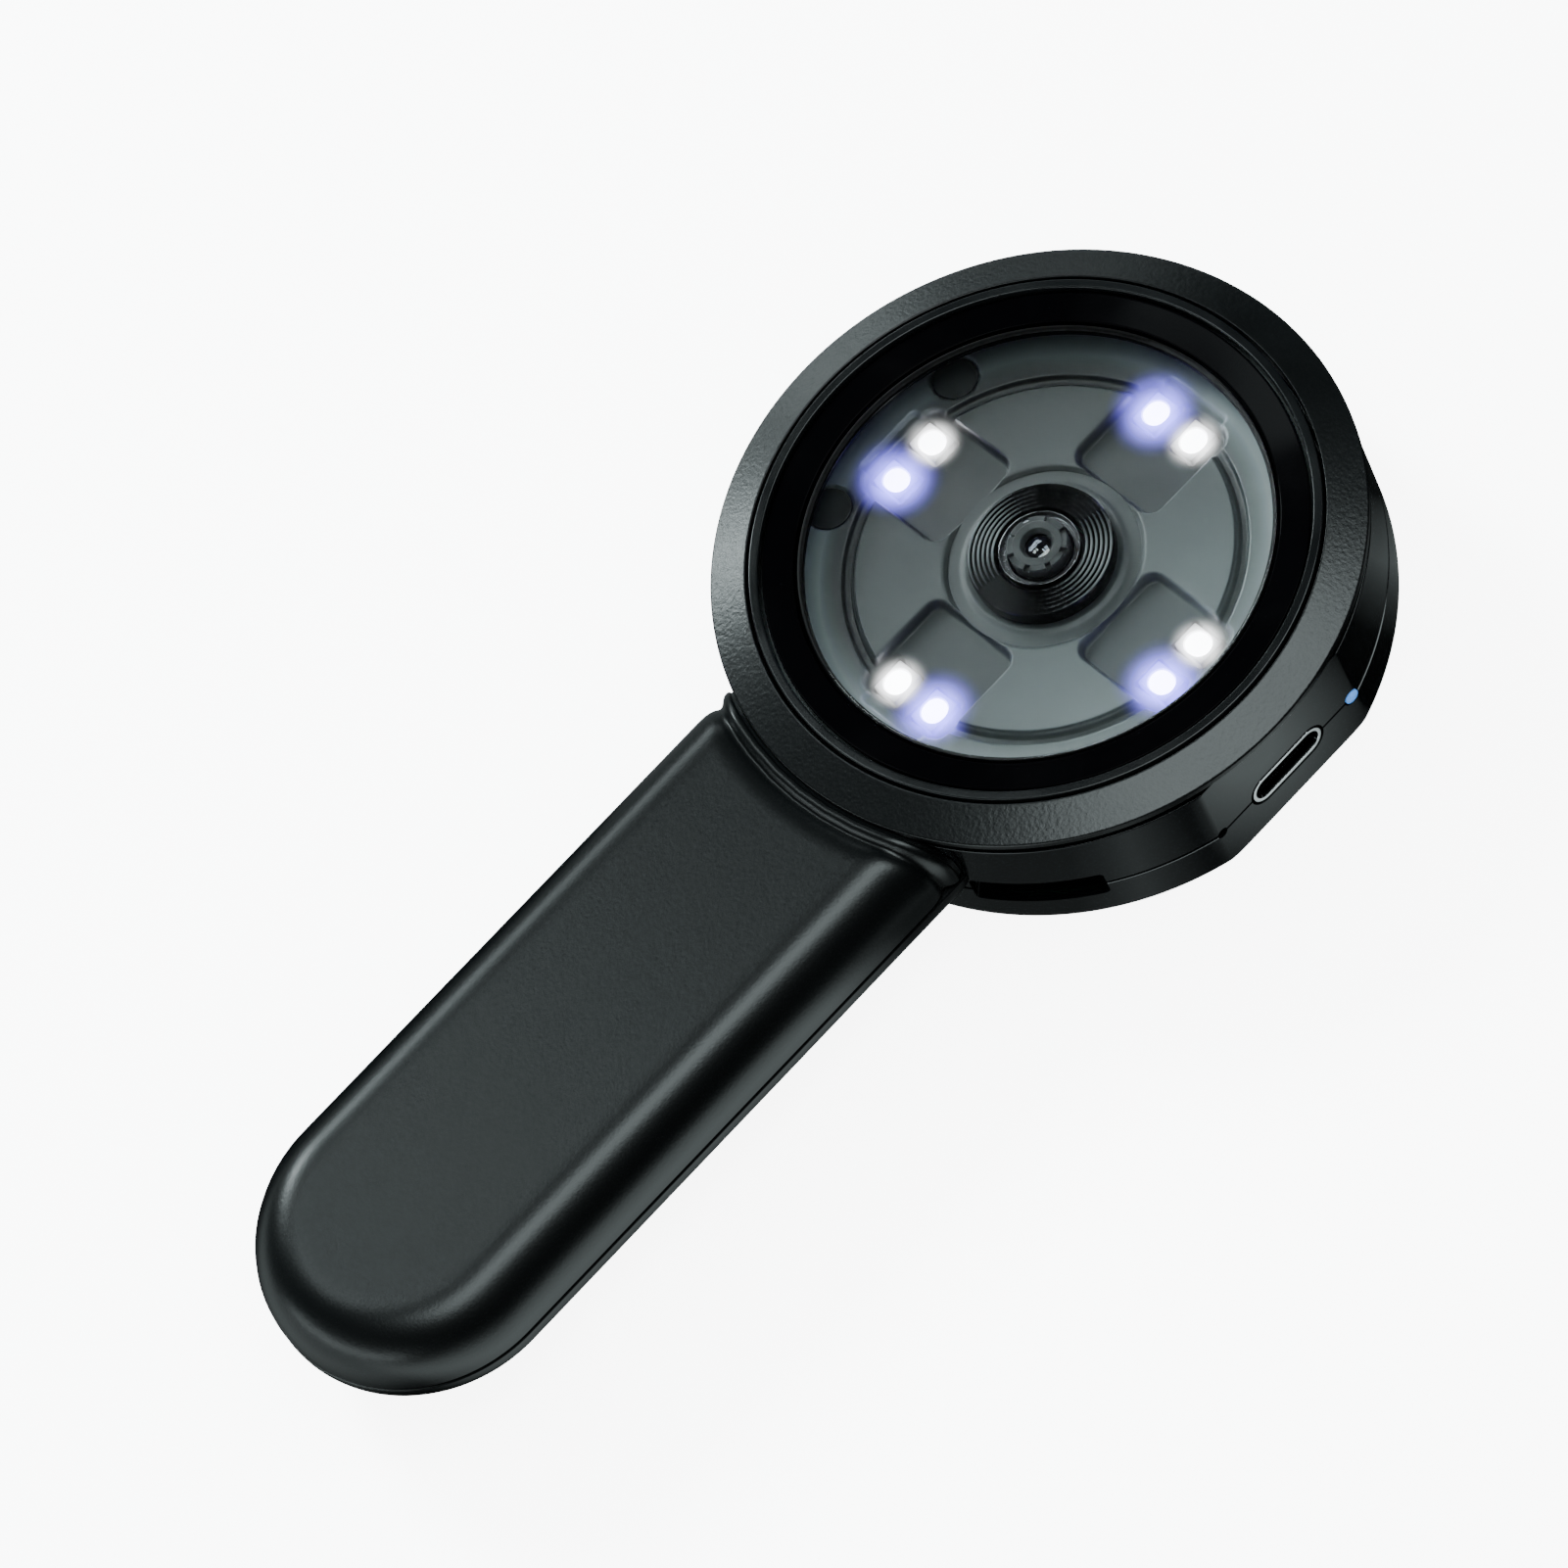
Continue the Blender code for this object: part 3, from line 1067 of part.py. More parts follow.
def cut_handle_bottom(shell, middle):
    """Pads, screw holes, neck screw holes and button holes of the lower handle shell."""
    for number, x in enumerate((NEAR_BOSS_X, FAR_BOSS_X)):
        place = (-x, 0, 0)
        pad = disc(f"handle_pad_{number}", SCREW_HEAD_RADIUS + HANDLE_PAD_HEIGHT, middle,
                   HANDLE_FLOOR + HANDLE_PAD_HEIGHT, SMALL_STEPS, place, cutter=True)
        join(shell, pad)
        seat = HANDLE_BOTTOM + SCREW_HEAD_HEIGHT + 2 * GAP
        sink = SCREW_HEAD_RADIUS + GAP
        layers = [(SCREW_HOLE, PARTING + OVERRUN, seat), (sink, seat, HANDLE_BOTTOM - OVERRUN)]
        cut(shell, stack(f"handle_hole_{number}", layers, -x, 0))
    for number, y in enumerate((TONGUE_SCREW_Y, -TONGUE_SCREW_Y)):
        hole = disc(f"tongue_hole_{number}", SCREW_HOLE, TONGUE_BOTTOM - OVERRUN, TONGUE_TOP + OVERRUN,
                    TINY_STEPS, (-TONGUE_SCREW_X, y, 0), cutter=True)
        cut(shell, hole)
    for name, x, y in button_places():
        hole = disc(name + "_hole", BUTTON_RADIUS + GAP, HANDLE_BOTTOM - OVERRUN, HANDLE_FLOOR + OVERRUN,
                    SMALL_STEPS, (x, y, 0), cutter=True)
        cut(shell, hole)


def make_handle_screws():
    seat = HANDLE_BOTTOM + SCREW_HEAD_HEIGHT + GAP
    tip = HANDLE_FLOOR + HANDLE_PAD_HEIGHT + GAP + SCREW_LENGTH
    for number, x in enumerate((NEAR_BOSS_X, FAR_BOSS_X)):
        machine_screw(f"handle_screw_{number + 1}", -x, 0, seat, tip - seat, head_up=False)


def make_buttons():
    """Four push buttons, each with its own small switch on the board above it."""
    low = HANDLE_BOTTOM - BUTTON_STAND
    for name, x, y in button_places():
        profile = [
            (0, STEM_TOP - low),
            (BUTTON_STEM_RADIUS, STEM_TOP - low),
            (BUTTON_STEM_RADIUS, FLANGE_TOP - low),
            (BUTTON_RADIUS + BUTTON_FLANGE, FLANGE_TOP - low),
            (BUTTON_RADIUS + BUTTON_FLANGE, FLANGE_BOTTOM - low),
            (BUTTON_RADIUS, FLANGE_BOTTOM - low),
            (BUTTON_RADIUS, BUTTON_DOME),
            (BUTTON_RADIUS - BUTTON_DOME, 0),
            (0, 0),
        ]
        button = turned(name, profile, SMALL_STEPS, (x, y, low), closed=False)
        finish(button, (0.04, 0.042, 0.044), 0.5)
        half = SWITCH_SIDE / 2
        switch = box(name.replace("button", "switch"), (-half, -half, 0), (half, half, SWITCH_HEIGHT),
                     (x, y, SWITCH_BOTTOM))
        finish(switch, (0.5, 0.5, 0.52), 0.3, 1.0)


def make_button_board():
    half_x = BUTTON_BOARD_LENGTH / 2
    half_y = BUTTON_BOARD_WIDTH / 2
    low = (-CLUSTER_X - half_x, -half_y, BUTTON_BOARD_BOTTOM)
    board = box("button_board", low, (-CLUSTER_X + half_x, half_y, BUTTON_BOARD_TOP))
    for number, y in enumerate((STAKE_Y, -STAKE_Y)):
        hole = disc(f"stake_hole_{number}", STAKE_PIN_RADIUS + GAP, BUTTON_BOARD_BOTTOM - OVERRUN,
                    BUTTON_BOARD_TOP + OVERRUN, TINY_STEPS, (-CLUSTER_X, y, 0), cutter=True)
        cut(board, hole)
    return finish(board, (0.02, 0.12, 0.05), 0.4)


def make_battery():
    half_y = BATTERY_WIDTH / 2
    half_x = BATTERY_LENGTH / 2
    low = (-half_x, -half_y, BATTERY_BOTTOM)
    cell = box("battery", low, (half_x, half_y, BATTERY_BOTTOM + BATTERY_HEIGHT), (-BATTERY_X, 0, 0))
    soft = cell.modifiers.new("soft_edges", "BEVEL")
    soft.width = PAD_THICKNESS
    soft.segments = 2
    finish(cell, (0.7, 0.71, 0.72), 0.4)
    half_x -= PAD_MARGIN
    half_y -= PAD_MARGIN
    low = (-half_x, -half_y, HANDLE_FLOOR + GAP)
    high = (half_x, half_y, HANDLE_FLOOR + GAP + PAD_THICKNESS)
    return finish(box("battery_pad", low, high, (-BATTERY_X, 0, 0)), (0.05, 0.05, 0.05), 0.9)


def swept(name, route, radius):
    """A round lead along a route of (x, y, z) points."""
    curve = bpy.data.curves.new(name, "CURVE")
    curve.dimensions = "3D"
    curve.bevel_depth = radius
    curve.bevel_resolution = 1
    curve.use_fill_caps = True
    spline = curve.splines.new("POLY")
    spline.points.add(len(route) - 1)
    for point, place in zip(spline.points, route):
        point.co = (*place, 1)
    return add_object(name, curve)


def make_leads():
    """Battery lead and button ribbon, through the neck to the main board."""
    front = BATTERY_X - BATTERY_LENGTH / 2 - GAP
    over = BUTTON_BOARD_TOP + 2 * LEAD_RADIUS + GAP
    neck = TONGUE_TOP + CABLE_SPACE / 2
    on_board = BOARD_TOP + GAP + LEAD_RADIUS
    board_far = CLUSTER_X + BUTTON_BOARD_LENGTH / 2
    board_near = CLUSTER_X - BUTTON_BOARD_LENGTH / 2
    rise = BATTERY_BOTTOM + BATTERY_HEIGHT / 2
    line = [(-front, rise), (-front + LEAD_RADIUS * 2, rise), (-board_far, over), (-board_near, over),
            (-HANDLE_START, neck), (-WALL_BORE, neck), (-TONGUE_INNER, on_board),
            (-TONGUE_INNER + FLEX_WIDTH, on_board)]
    route = [(x, LEAD_Y, z) for x, z in line]
    finish(swept("battery_lead", route, LEAD_RADIUS), (0.5, 0.02, 0.02), 0.4)
    make_ribbon(board_near, neck)


def make_ribbon(board_near, neck):
    """A flat ribbon that lies on both boards and dips through the neck."""
    over = BUTTON_BOARD_TOP + GAP
    on_board = BOARD_TOP + GAP
    line = [(-board_near - FLEX_WIDTH, over), (-board_near, over), (-HANDLE_START, neck), (-WALL_BORE, neck),
            (-TONGUE_INNER, on_board), (-TONGUE_INNER + FLEX_WIDTH, on_board)]
    outline = line + [(x, z + FLEX_THICKNESS) for x, z in reversed(line)]
    half = FLEX_WIDTH / 2
    ribbon = slab("button_ribbon", outline, -half, half, (0, -LEAD_Y / 2, 0), (math.pi / 2, 0, 0))
    return finish(ribbon, (0.45, 0.2, 0.03), 0.4)


make_front_shell()
make_rear_shell()
make_bezel()
make_lip_ring()
make_mask_ring()
make_window()
make_light_plate()
make_led_board()
make_leds()
make_lens()
make_camera()
make_main_board()
make_port()
make_signals()
make_card_socket()
make_display()
make_head_screws()
make_handle_top()
make_handle_bottom()
make_handle_screws()
make_buttons()
make_button_board()
make_battery()
make_leads()
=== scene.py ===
"""Looks of the digital magnifier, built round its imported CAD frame.

Sizes are in millimetres in the head's own frame until a mesh is made: its axis is up, the handle runs
towards -X and the port faces -Y.
"""

import math

import bmesh
import bpy
import numpy as np
from mathutils import Matrix, Vector


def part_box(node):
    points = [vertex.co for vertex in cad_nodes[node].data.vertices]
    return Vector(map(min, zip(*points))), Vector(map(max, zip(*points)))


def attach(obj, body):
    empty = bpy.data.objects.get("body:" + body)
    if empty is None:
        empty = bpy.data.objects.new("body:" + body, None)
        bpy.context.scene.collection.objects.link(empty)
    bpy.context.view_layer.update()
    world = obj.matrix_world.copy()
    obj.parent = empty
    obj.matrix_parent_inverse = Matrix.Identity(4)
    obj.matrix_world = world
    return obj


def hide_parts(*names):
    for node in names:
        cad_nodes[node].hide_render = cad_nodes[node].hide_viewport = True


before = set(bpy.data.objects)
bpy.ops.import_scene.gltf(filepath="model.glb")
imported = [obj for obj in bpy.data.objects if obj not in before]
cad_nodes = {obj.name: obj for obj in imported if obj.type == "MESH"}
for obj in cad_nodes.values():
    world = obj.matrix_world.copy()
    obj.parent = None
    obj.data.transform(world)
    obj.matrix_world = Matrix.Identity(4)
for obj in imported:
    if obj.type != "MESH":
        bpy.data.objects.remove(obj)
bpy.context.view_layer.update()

# Metres in a millimetre, and the head's axis in the shared frame
MM = 0.001
HEAD_X = 34.3
QUARTER = math.pi / 2

# Steps round a large turned piece, degrees above which an edge looks sharp, metres at which points merge
FINE_STEPS = 320
SHARP = 32
MERGE = 2e-7

# Side wall: its radius, the seam's height, the facet and what is in it
WALL = 30.8
SEAM = 5.17
FLAT = 29.4
FLAT_INSIDE = 27.8
FLAT_EDGE = math.radians(17.35)
SIGNAL_X = 8.7
PORT_SIZE = (8.94, 3.26)
SLOT_TURN = math.radians(220.3)

# Rings round the window: the seat that they share, then radii, bores and heights
RING_SEAT = 14.3
BEZEL_RADIUS = 31.0
BEZEL_BORE = 27.3
BEZEL_EDGE = 15.02
BEZEL_CREST = 16.3
LIP_RADIUS = 27.0
LIP_BORE = 26.1
LIP_TOP = 16.4
MASK_RADIUS = 25.8
MASK_BORE = 22.1
MASK_TOP = 16.0
WINDOW_RADIUS = 22.6
WINDOW_LOW = 15.0
WINDOW_TOP = 15.6

# Light plate: its rim and underside, and the levels of its face from high to low
PLATE_RADIUS = 26.88
PLATE_RIM = 14.0
PLATE_FACE = 11.8
HUB_FACE = 11.7
NOTCH_FLOOR = 11.4
POCKET_FLOOR = 11.0
RECESS_FLOOR = 10.8
PIT_FLOOR = 10.3
PLATE_LOW = 10.2

# What stands on the light plate: lamp pairs, screws and the lens
LAMP_TOP = 11.3
LAMP_REACH = 17.5
LAMP_SIDES = (2.45, -2.45)
# Each lamp as (quarter turns, side, whether it is white)
LAMPS = tuple((quarter, side, (side > 0) == (quarter == 3)) for quarter in range(4) for side in LAMP_SIDES)
PLATE_SCREW_X = 8.6
PLATE_SCREW_Y = 20.4
SHROUD_FOOT = 11.92
SHROUD_RADIUS = 6.95
SHROUD_BORE = 4.25
NUT_LOW = 13.3
LENS_RADIUS = 1.4

# Handle
HANDLE_END_X = -84.6
HANDLE_HALF = 15.0
HANDLE_TOP = 15.0
HANDLE_BASE = 5.0
HANDLE_WALL = 1.6
HANDLE_SCREWS_X = (-54.0, -95.0)
KEY_PLACES = (("power", -38.9, 4.6), ("capture", -38.9, -4.6), ("zoom_in", -48.1, 4.6),
              ("zoom_out", -48.1, -4.6))


# Meshes

def to_metres(points):
    return (np.asarray(points, float) + (HEAD_X, 0, 0)) * MM


def smooth(piece, sharp):
    piece.data.shade_smooth()
    piece.data.set_sharp_from_angle(angle=math.radians(sharp))
    return piece


def add_object(name, data):
    thing = bpy.data.objects.new(name, data)
    bpy.context.scene.collection.objects.link(thing)
    return thing


def closed_mesh(name, points, faces):
    """A mesh with its seams merged and its faces outwards, from points in metres."""
    mesh = bpy.data.meshes.new(name)
    mesh.from_pydata(points, [], faces)
    work = bmesh.new()
    work.from_mesh(mesh)
    bmesh.ops.remove_doubles(work, verts=work.verts, dist=MERGE)
    bmesh.ops.recalc_face_normals(work, faces=work.faces)
    work.to_mesh(mesh)
    work.free()
    return mesh


def joined(shapes):
    """One (points, faces) shape from a list of them."""
    points = []
    faces = []
    for shape_points, shape_faces in shapes:
        start = len(points)
        points += list(shape_points)
        faces += [[start + i for i in face] for face in shape_faces]
    return points, faces


def make_piece(name, shapes, material, sharp=SHARP):
    """One object from a list of (points, faces) shapes in millimetres."""
    points, faces = joined(shapes)
    piece = add_object(name, closed_mesh(name, to_metres(points).tolist(), faces))
    piece.data.materials.append(material)
    return smooth(piece, sharp)


def soften(corners, segments=4):
    """Rounds the corners (r, z, reach) of a closed outline. Reach is how far the round takes in."""
    outline = []
    count = len(corners)
    for i, corner in enumerate(corners):
        here = np.array(corner[:2], float)
        if len(corner) < 3:
            outline.append(tuple(here))
            continue
        reach = corner[2]
        before = np.array(corners[i - 1][:2], float) - here
        after = np.array(corners[(i + 1) % count][:2], float) - here
        before *= reach / np.linalg.norm(before)
        after *= reach / np.linalg.norm(after)
        outline.append(tuple(here + before * 1.3))
        for k in range(segments + 1):
            s = k / segments
            outline.append(tuple(here + (1 - s) ** 2 * before + s * s * after))
        outline.append(tuple(here + after * 1.3))
    return outline


def strips(rows, size, start=0, closed=True, looped=False):
    """Faces between neighbouring rows of points. A closed row ends where it starts, and looped rows
    go on from the last one to the first."""
    faces = []
    for row in range(rows if looped else rows - 1):
        here = start + row * size
        there = start + (row + 1) % rows * size
        for i in range(size if closed else size - 1):
            j = (i + 1) % size
            faces.append((here + i, here + j, there + j, there + i))
    return faces


def revolve(outline, steps, flat=None):
    """A closed outline of (r, z) turned about the axis. A flat (outer, inner, split radius) trims the
    port side, at one distance outside the split radius and at another inside it."""
    angles = [2 * math.pi * k / steps for k in range(steps)]
    if flat:
        extra = [side * (FLAT_EDGE + d) - QUARTER for side in (1, -1) for d in (-0.004, 0.004)]
        angles = sorted(set(angles) | {a % (2 * math.pi) for a in extra})
    points = []
    for angle in angles:
        across = math.cos(angle + QUARTER)
        for r, z in outline:
            if flat and across > 0.5:
                limit = flat[0] if r > flat[2] else flat[1]
                r = min(r, limit / across)
            points.append((r * math.cos(angle), r * math.sin(angle), z))
    return points, strips(len(angles), len(outline), looped=True)


def loft(loops):
    """Closed body through loops that all have the same number of points."""
    size = len(loops[0])
    points = [p for loop in loops for p in loop]
    caps = [tuple(range(size)), tuple(range((len(loops) - 1) * size, len(loops) * size))]
    return points, caps + strips(len(loops), size)


def stadium(width, height, steps):
    """Outline with half-round ends, as (x, z) points."""
    r = height / 2
    middle = width / 2 - r
    right = [(middle + r * math.sin(a), -r * math.cos(a)) for a in np.linspace(0, math.pi, steps)]
    left = [(-x, -z) for x, z in right]
    return right + left


def rounded_oblong(half_x, half_y, corner, steps=5):
    points = []
    for quarter, (sx, sy) in enumerate(((1, 1), (-1, 1), (-1, -1), (1, -1))):
        for k in range(steps + 1):
            a = QUARTER * (quarter + k / steps)
            points.append((sx * (half_x - corner) + corner * math.cos(a),
                           sy * (half_y - corner) + corner * math.sin(a)))
    return points


def circle(radius, steps=40):
    angles = [2 * math.pi * k / steps for k in range(steps)]
    return [(radius * math.cos(a), radius * math.sin(a)) for a in angles]


def slab(half_x, half_y, low, high, corner, edge):
    """Rounded block on the XY plane, with a soft edge all round."""
    loops = []
    for inset, z in ((edge, low), (edge * 0.3, low + edge * 0.3), (0, low + edge),
                     (0, high - edge), (edge * 0.3, high - edge * 0.3), (edge, high)):
        outline = rounded_oblong(half_x - inset, half_y - inset, max(corner - inset, 0.01))
        loops.append([(x, y, z) for x, y in outline])
    return loft(loops)


def on_flat(outline, depth, x=0.0):
    """Loop in the facet's plane: an outline of (x, z) about the seam, at a depth along Y."""
    return [(px + x, depth, pz + SEAM) for px, pz in outline]


def moved(shape, place=(0, 0, 0), turn=0.0):
    points, faces = shape
    c, s = math.cos(turn), math.sin(turn)
    return [(x * c - y * s + place[0], x * s + y * c + place[1], z + place[2]) for x, y, z in points], faces


def evaluated_copy(piece):
    """The piece with its modifiers applied, as a plain mesh on the same object."""
    bpy.context.view_layer.update()
    graph = bpy.context.evaluated_depsgraph_get()
    mesh = bpy.data.meshes.new_from_object(piece.evaluated_get(graph))
    piece.modifiers.clear()
    piece.data = mesh
    return piece


def carve(piece, shapes):
    """Cuts each of the shapes out of the piece."""
    cutters = []
    for number, shape in enumerate(shapes):
        cutter = make_piece(f"cutter_{number}", [shape], piece.data.materials[0])
        modifier = piece.modifiers.new(cutter.name, "BOOLEAN")
        modifier.operation = "DIFFERENCE"
        modifier.solver = "EXACT"
        modifier.object = cutter
        cutters.append(cutter)
    evaluated_copy(piece)
    for cutter in cutters:
        bpy.data.objects.remove(cutter)
    return smooth(piece, SHARP)


def wear(piece, slot, *nodes, body="housing"):
    """Puts a finished piece on its body in place of its CAD nodes."""
    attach(piece, body)
    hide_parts(*nodes)


def turned(name, outline, steps, material, slot, node, sharp=50):
    """A turned piece on the housing in place of its CAD node."""
    wear(make_piece(name, [revolve(outline, steps)], material, sharp), slot, node)


# Nodes

class Nodes:
    """Short ways to place nodes in a tree and to feed their inputs."""

    def __init__(self, tree):
        self.tree = tree

    def feed(self, socket, value):
        """Joins an output to the input, or gives it a plain value."""
        if isinstance(value, bpy.types.NodeSocket):
            self.tree.links.new(value, socket)
        elif socket.type == "RGBA":
            socket.default_value = (*value, 1)
        else:
            socket.default_value = value

    def node(self, kind, feeds=None, **settings):
        """A new node. Feeds has its inputs by name or number."""
        node = self.tree.nodes.new(kind)
        for key, value in settings.items():
            setattr(node, key, value)
        for key, value in (feeds or {}).items():
            self.feed(node.inputs[key], value)
        return node

    def out(self, kind, feeds=None, **settings):
        """First output of a new node."""
        return self.node(kind, feeds, **settings).outputs[0]

    def math(self, operation, first, *others):
        """The operation on one value, or on several from left to right."""
        if not others:
            return self.out("ShaderNodeMath", {0: first}, operation=operation)
        for other in others:
            first = self.out("ShaderNodeMath", {0: first, 1: other}, operation=operation)
        return first

    def vector(self, operation, *values):
        node = self.node("ShaderNodeVectorMath", dict(enumerate(values)), operation=operation)
        return node.outputs["Value" if operation in ("LENGTH", "DISTANCE", "DOT_PRODUCT") else "Vector"]

    def spread(self, value, low, high, from_low=0.0, from_high=1.0, **settings):
        """The value carried from one range to another, and held at its ends."""
        feeds = {"Value": value, "To Min": low, "To Max": high, "From Min": from_low, "From Max": from_high}
        return self.out("ShaderNodeMapRange", feeds, **settings)

    def place(self):
        return self.node("ShaderNodeTexCoord").outputs["Object"]

    def axes(self, place):
        """X, Y and Z of a place."""
        return self.node("ShaderNodeSeparateXYZ", {0: place}).outputs


class Tree(Nodes):
    """A Geometry Nodes tree with named inputs that ends in Realize Instances and Set Material."""

    def __init__(self, name, **inputs):
        super().__init__(bpy.data.node_groups.new(name, "GeometryNodeTree"))
        for label, kind in {"Geometry": "Geometry", **inputs, "Material": "Material"}.items():
            self.tree.interface.new_socket(label, in_out="INPUT", socket_type="NodeSocket" + kind)
        self.tree.interface.new_socket("Geometry", in_out="OUTPUT", socket_type="NodeSocketGeometry")
        self.given = self.node("NodeGroupInput").outputs

    def close(self, instances):
        real = self.out("GeometryNodeRealizeInstances", {0: instances})
        painted = self.out("GeometryNodeSetMaterial", {"Geometry": real, "Material": self.given["Material"]})
        self.node("NodeGroupOutput", {0: painted})
        return self.tree


def ring_tree():
    """Copies of the mesh turned round an upright axis through Centre."""
    t = Tree("ring_of_copies", Count="Int", Centre="Vector")
    points = t.out("GeometryNodePoints", {"Count": t.given["Count"], "Position": t.given["Centre"]})
    turn = t.math("MULTIPLY", t.out("GeometryNodeInputIndex"), 2 * math.pi)
    spin = t.out("ShaderNodeCombineXYZ", {"Z": t.math("DIVIDE", turn, t.given["Count"])})
    feeds = {"Points": points, "Instance": t.given["Geometry"], "Rotation": spin}
    return t.close(t.out("GeometryNodeInstanceOnPoints", feeds))


def row_tree():
    """Copies of the mesh in a straight row."""
    t = Tree("row_of_copies", Count="Int", Start="Vector", Step="Vector")
    feeds = {"Count": t.given["Count"], "Start Location": t.given["Start"], "Offset": t.given["Step"]}
    line = t.out("GeometryNodeMeshLine", feeds, mode="OFFSET")
    return t.close(t.out("GeometryNodeInstanceOnPoints", {"Points": line, "Instance": t.given["Geometry"]}))


def ridge_tree():
    """Concentric ridges: circles from Inner to Outer radius on a cone, each given a round section."""
    t = Tree("concentric_ridges", Count="Int", Centre="Vector", Inner="Float", Outer="Float", Fall="Float",
             Section="Float")
    last = t.math("SUBTRACT", t.given["Count"], 1.0)
    share = t.math("DIVIDE", t.out("GeometryNodeInputIndex"), last)
    down = t.out("ShaderNodeCombineXYZ", {"Z": t.math("MULTIPLY", share, t.given["Fall"])})
    place = t.vector("SUBTRACT", t.given["Centre"], down)
    points = t.out("GeometryNodePoints", {"Count": t.given["Count"], "Position": place})
    ring = t.out("GeometryNodeCurvePrimitiveCircle", {"Resolution": 128, "Radius": 1.0})
    radius = t.spread(share, t.given["Inner"], t.given["Outer"])
    rings = t.out("GeometryNodeInstanceOnPoints", {"Points": points, "Instance": ring, "Scale": radius})
    loose = t.out("GeometryNodeRealizeInstances", {0: rings})
    section = t.out("GeometryNodeCurvePrimitiveCircle", {"Resolution": 20, "Radius": t.given["Section"]})
    return t.close(t.out("GeometryNodeCurveToMesh", {"Curve": loose, "Profile Curve": section}))


def grown(name, seed, tree, values, material, sharp=40):
    """A plain mesh from a seed shape and a tree. The seed is in millimetres about the origin."""
    points, faces = seed
    piece = add_object(name, closed_mesh(name, (np.asarray(points, float) * MM).tolist(), faces))
    modifier = piece.modifiers.new(tree.name, "NODES")
    modifier.node_group = tree
    values = dict(values, Material=material)
    for item in tree.interface.items_tree:
        if item.in_out == "INPUT" and item.name in values:
            modifier[item.identifier] = values[item.name]
    return smooth(evaluated_copy(piece), sharp)


# Shader groups and materials

class Group(Nodes):
    """A shader node group with named outputs and inputs."""

    def __init__(self, name, outputs, **inputs):
        super().__init__(bpy.data.node_groups.new(name, "ShaderNodeTree"))
        face = self.tree.interface
        for label, value in inputs.items():
            socket = face.new_socket(label.replace("_", " "), in_out="INPUT", socket_type="NodeSocketFloat")
            socket.default_value = value
        for label in outputs:
            face.new_socket(label, in_out="OUTPUT", socket_type="NodeSocketFloat")
        self.given = self.node("NodeGroupInput").outputs
        self.result = self.node("NodeGroupOutput").inputs

    def noise(self, scale, detail, distortion=0.0):
        feeds = {"Vector": self.place(), "Scale": scale, "Detail": detail, "Distortion": distortion}
        return self.out("ShaderNodeTexNoise", feeds)


def make_grain_group():
    """Moulded orange-peel grain: a height from a fine noise and a coarser one."""
    g = Group("fine_grain", ("Height",), Scale=3000.0, Coarse_Share=0.12)
    fine = g.noise(g.given["Scale"], 3.0)
    coarse = g.noise(g.math("MULTIPLY", g.given["Scale"], 0.45), 1.0)
    mix = g.out("ShaderNodeMix", {"Factor": g.given["Coarse Share"], "A": fine, "B": coarse})
    g.feed(g.result["Height"], mix)
    return g.tree


def make_marks_group():
    """Handling marks: wide soft smears crossed by finer ones, from 0 (clean) to 1 (handled)."""
    g = Group("handling_marks", ("Marks",), Scale=120.0, Contrast=1.0)
    smears = g.spread(g.noise(g.given["Scale"], 5.0, 0.6), 0.0, 1.0, 0.35, 0.68)
    g.feed(g.result["Marks"], g.math("POWER", smears, g.given["Contrast"]))
    return g.tree


def lamp_spots(height):
    """Each lamp at a height, as (whether it is white, its place in metres)."""
    for quarter, side, white in LAMPS:
        (spot,), _ = moved(([(LAMP_REACH, side, height)], []), turn=quarter * QUARTER)
        yield white, to_metres(spot)


def make_halo_group():
    """Painted light of the lit lamps on what lies round them, as glow: one output for the white ones, one for
    violet.
    """
    g = Group("lamp_halo", ("White", "Violet"), White_Reach=3.8, Violet_Reach=5.7)
    for kind in ("White", "Violet"):
        reach = g.math("MULTIPLY", g.given[kind + " Reach"], MM)
        peaks = []
        for white, spot in lamp_spots(11.2):
            if white == (kind == "White"):
                away = g.vector("DISTANCE", g.place(), spot)
                fade = g.spread(away, 1.0, 0.0, 0.0, reach, interpolation_type="SMOOTHSTEP")
                peaks.append(g.math("POWER", fade, 3.0))
        g.feed(g.result[kind], g.math("ADD", *peaks))
    return g.tree


GRAIN = make_grain_group()
MARKS = make_marks_group()
HALO = make_halo_group()


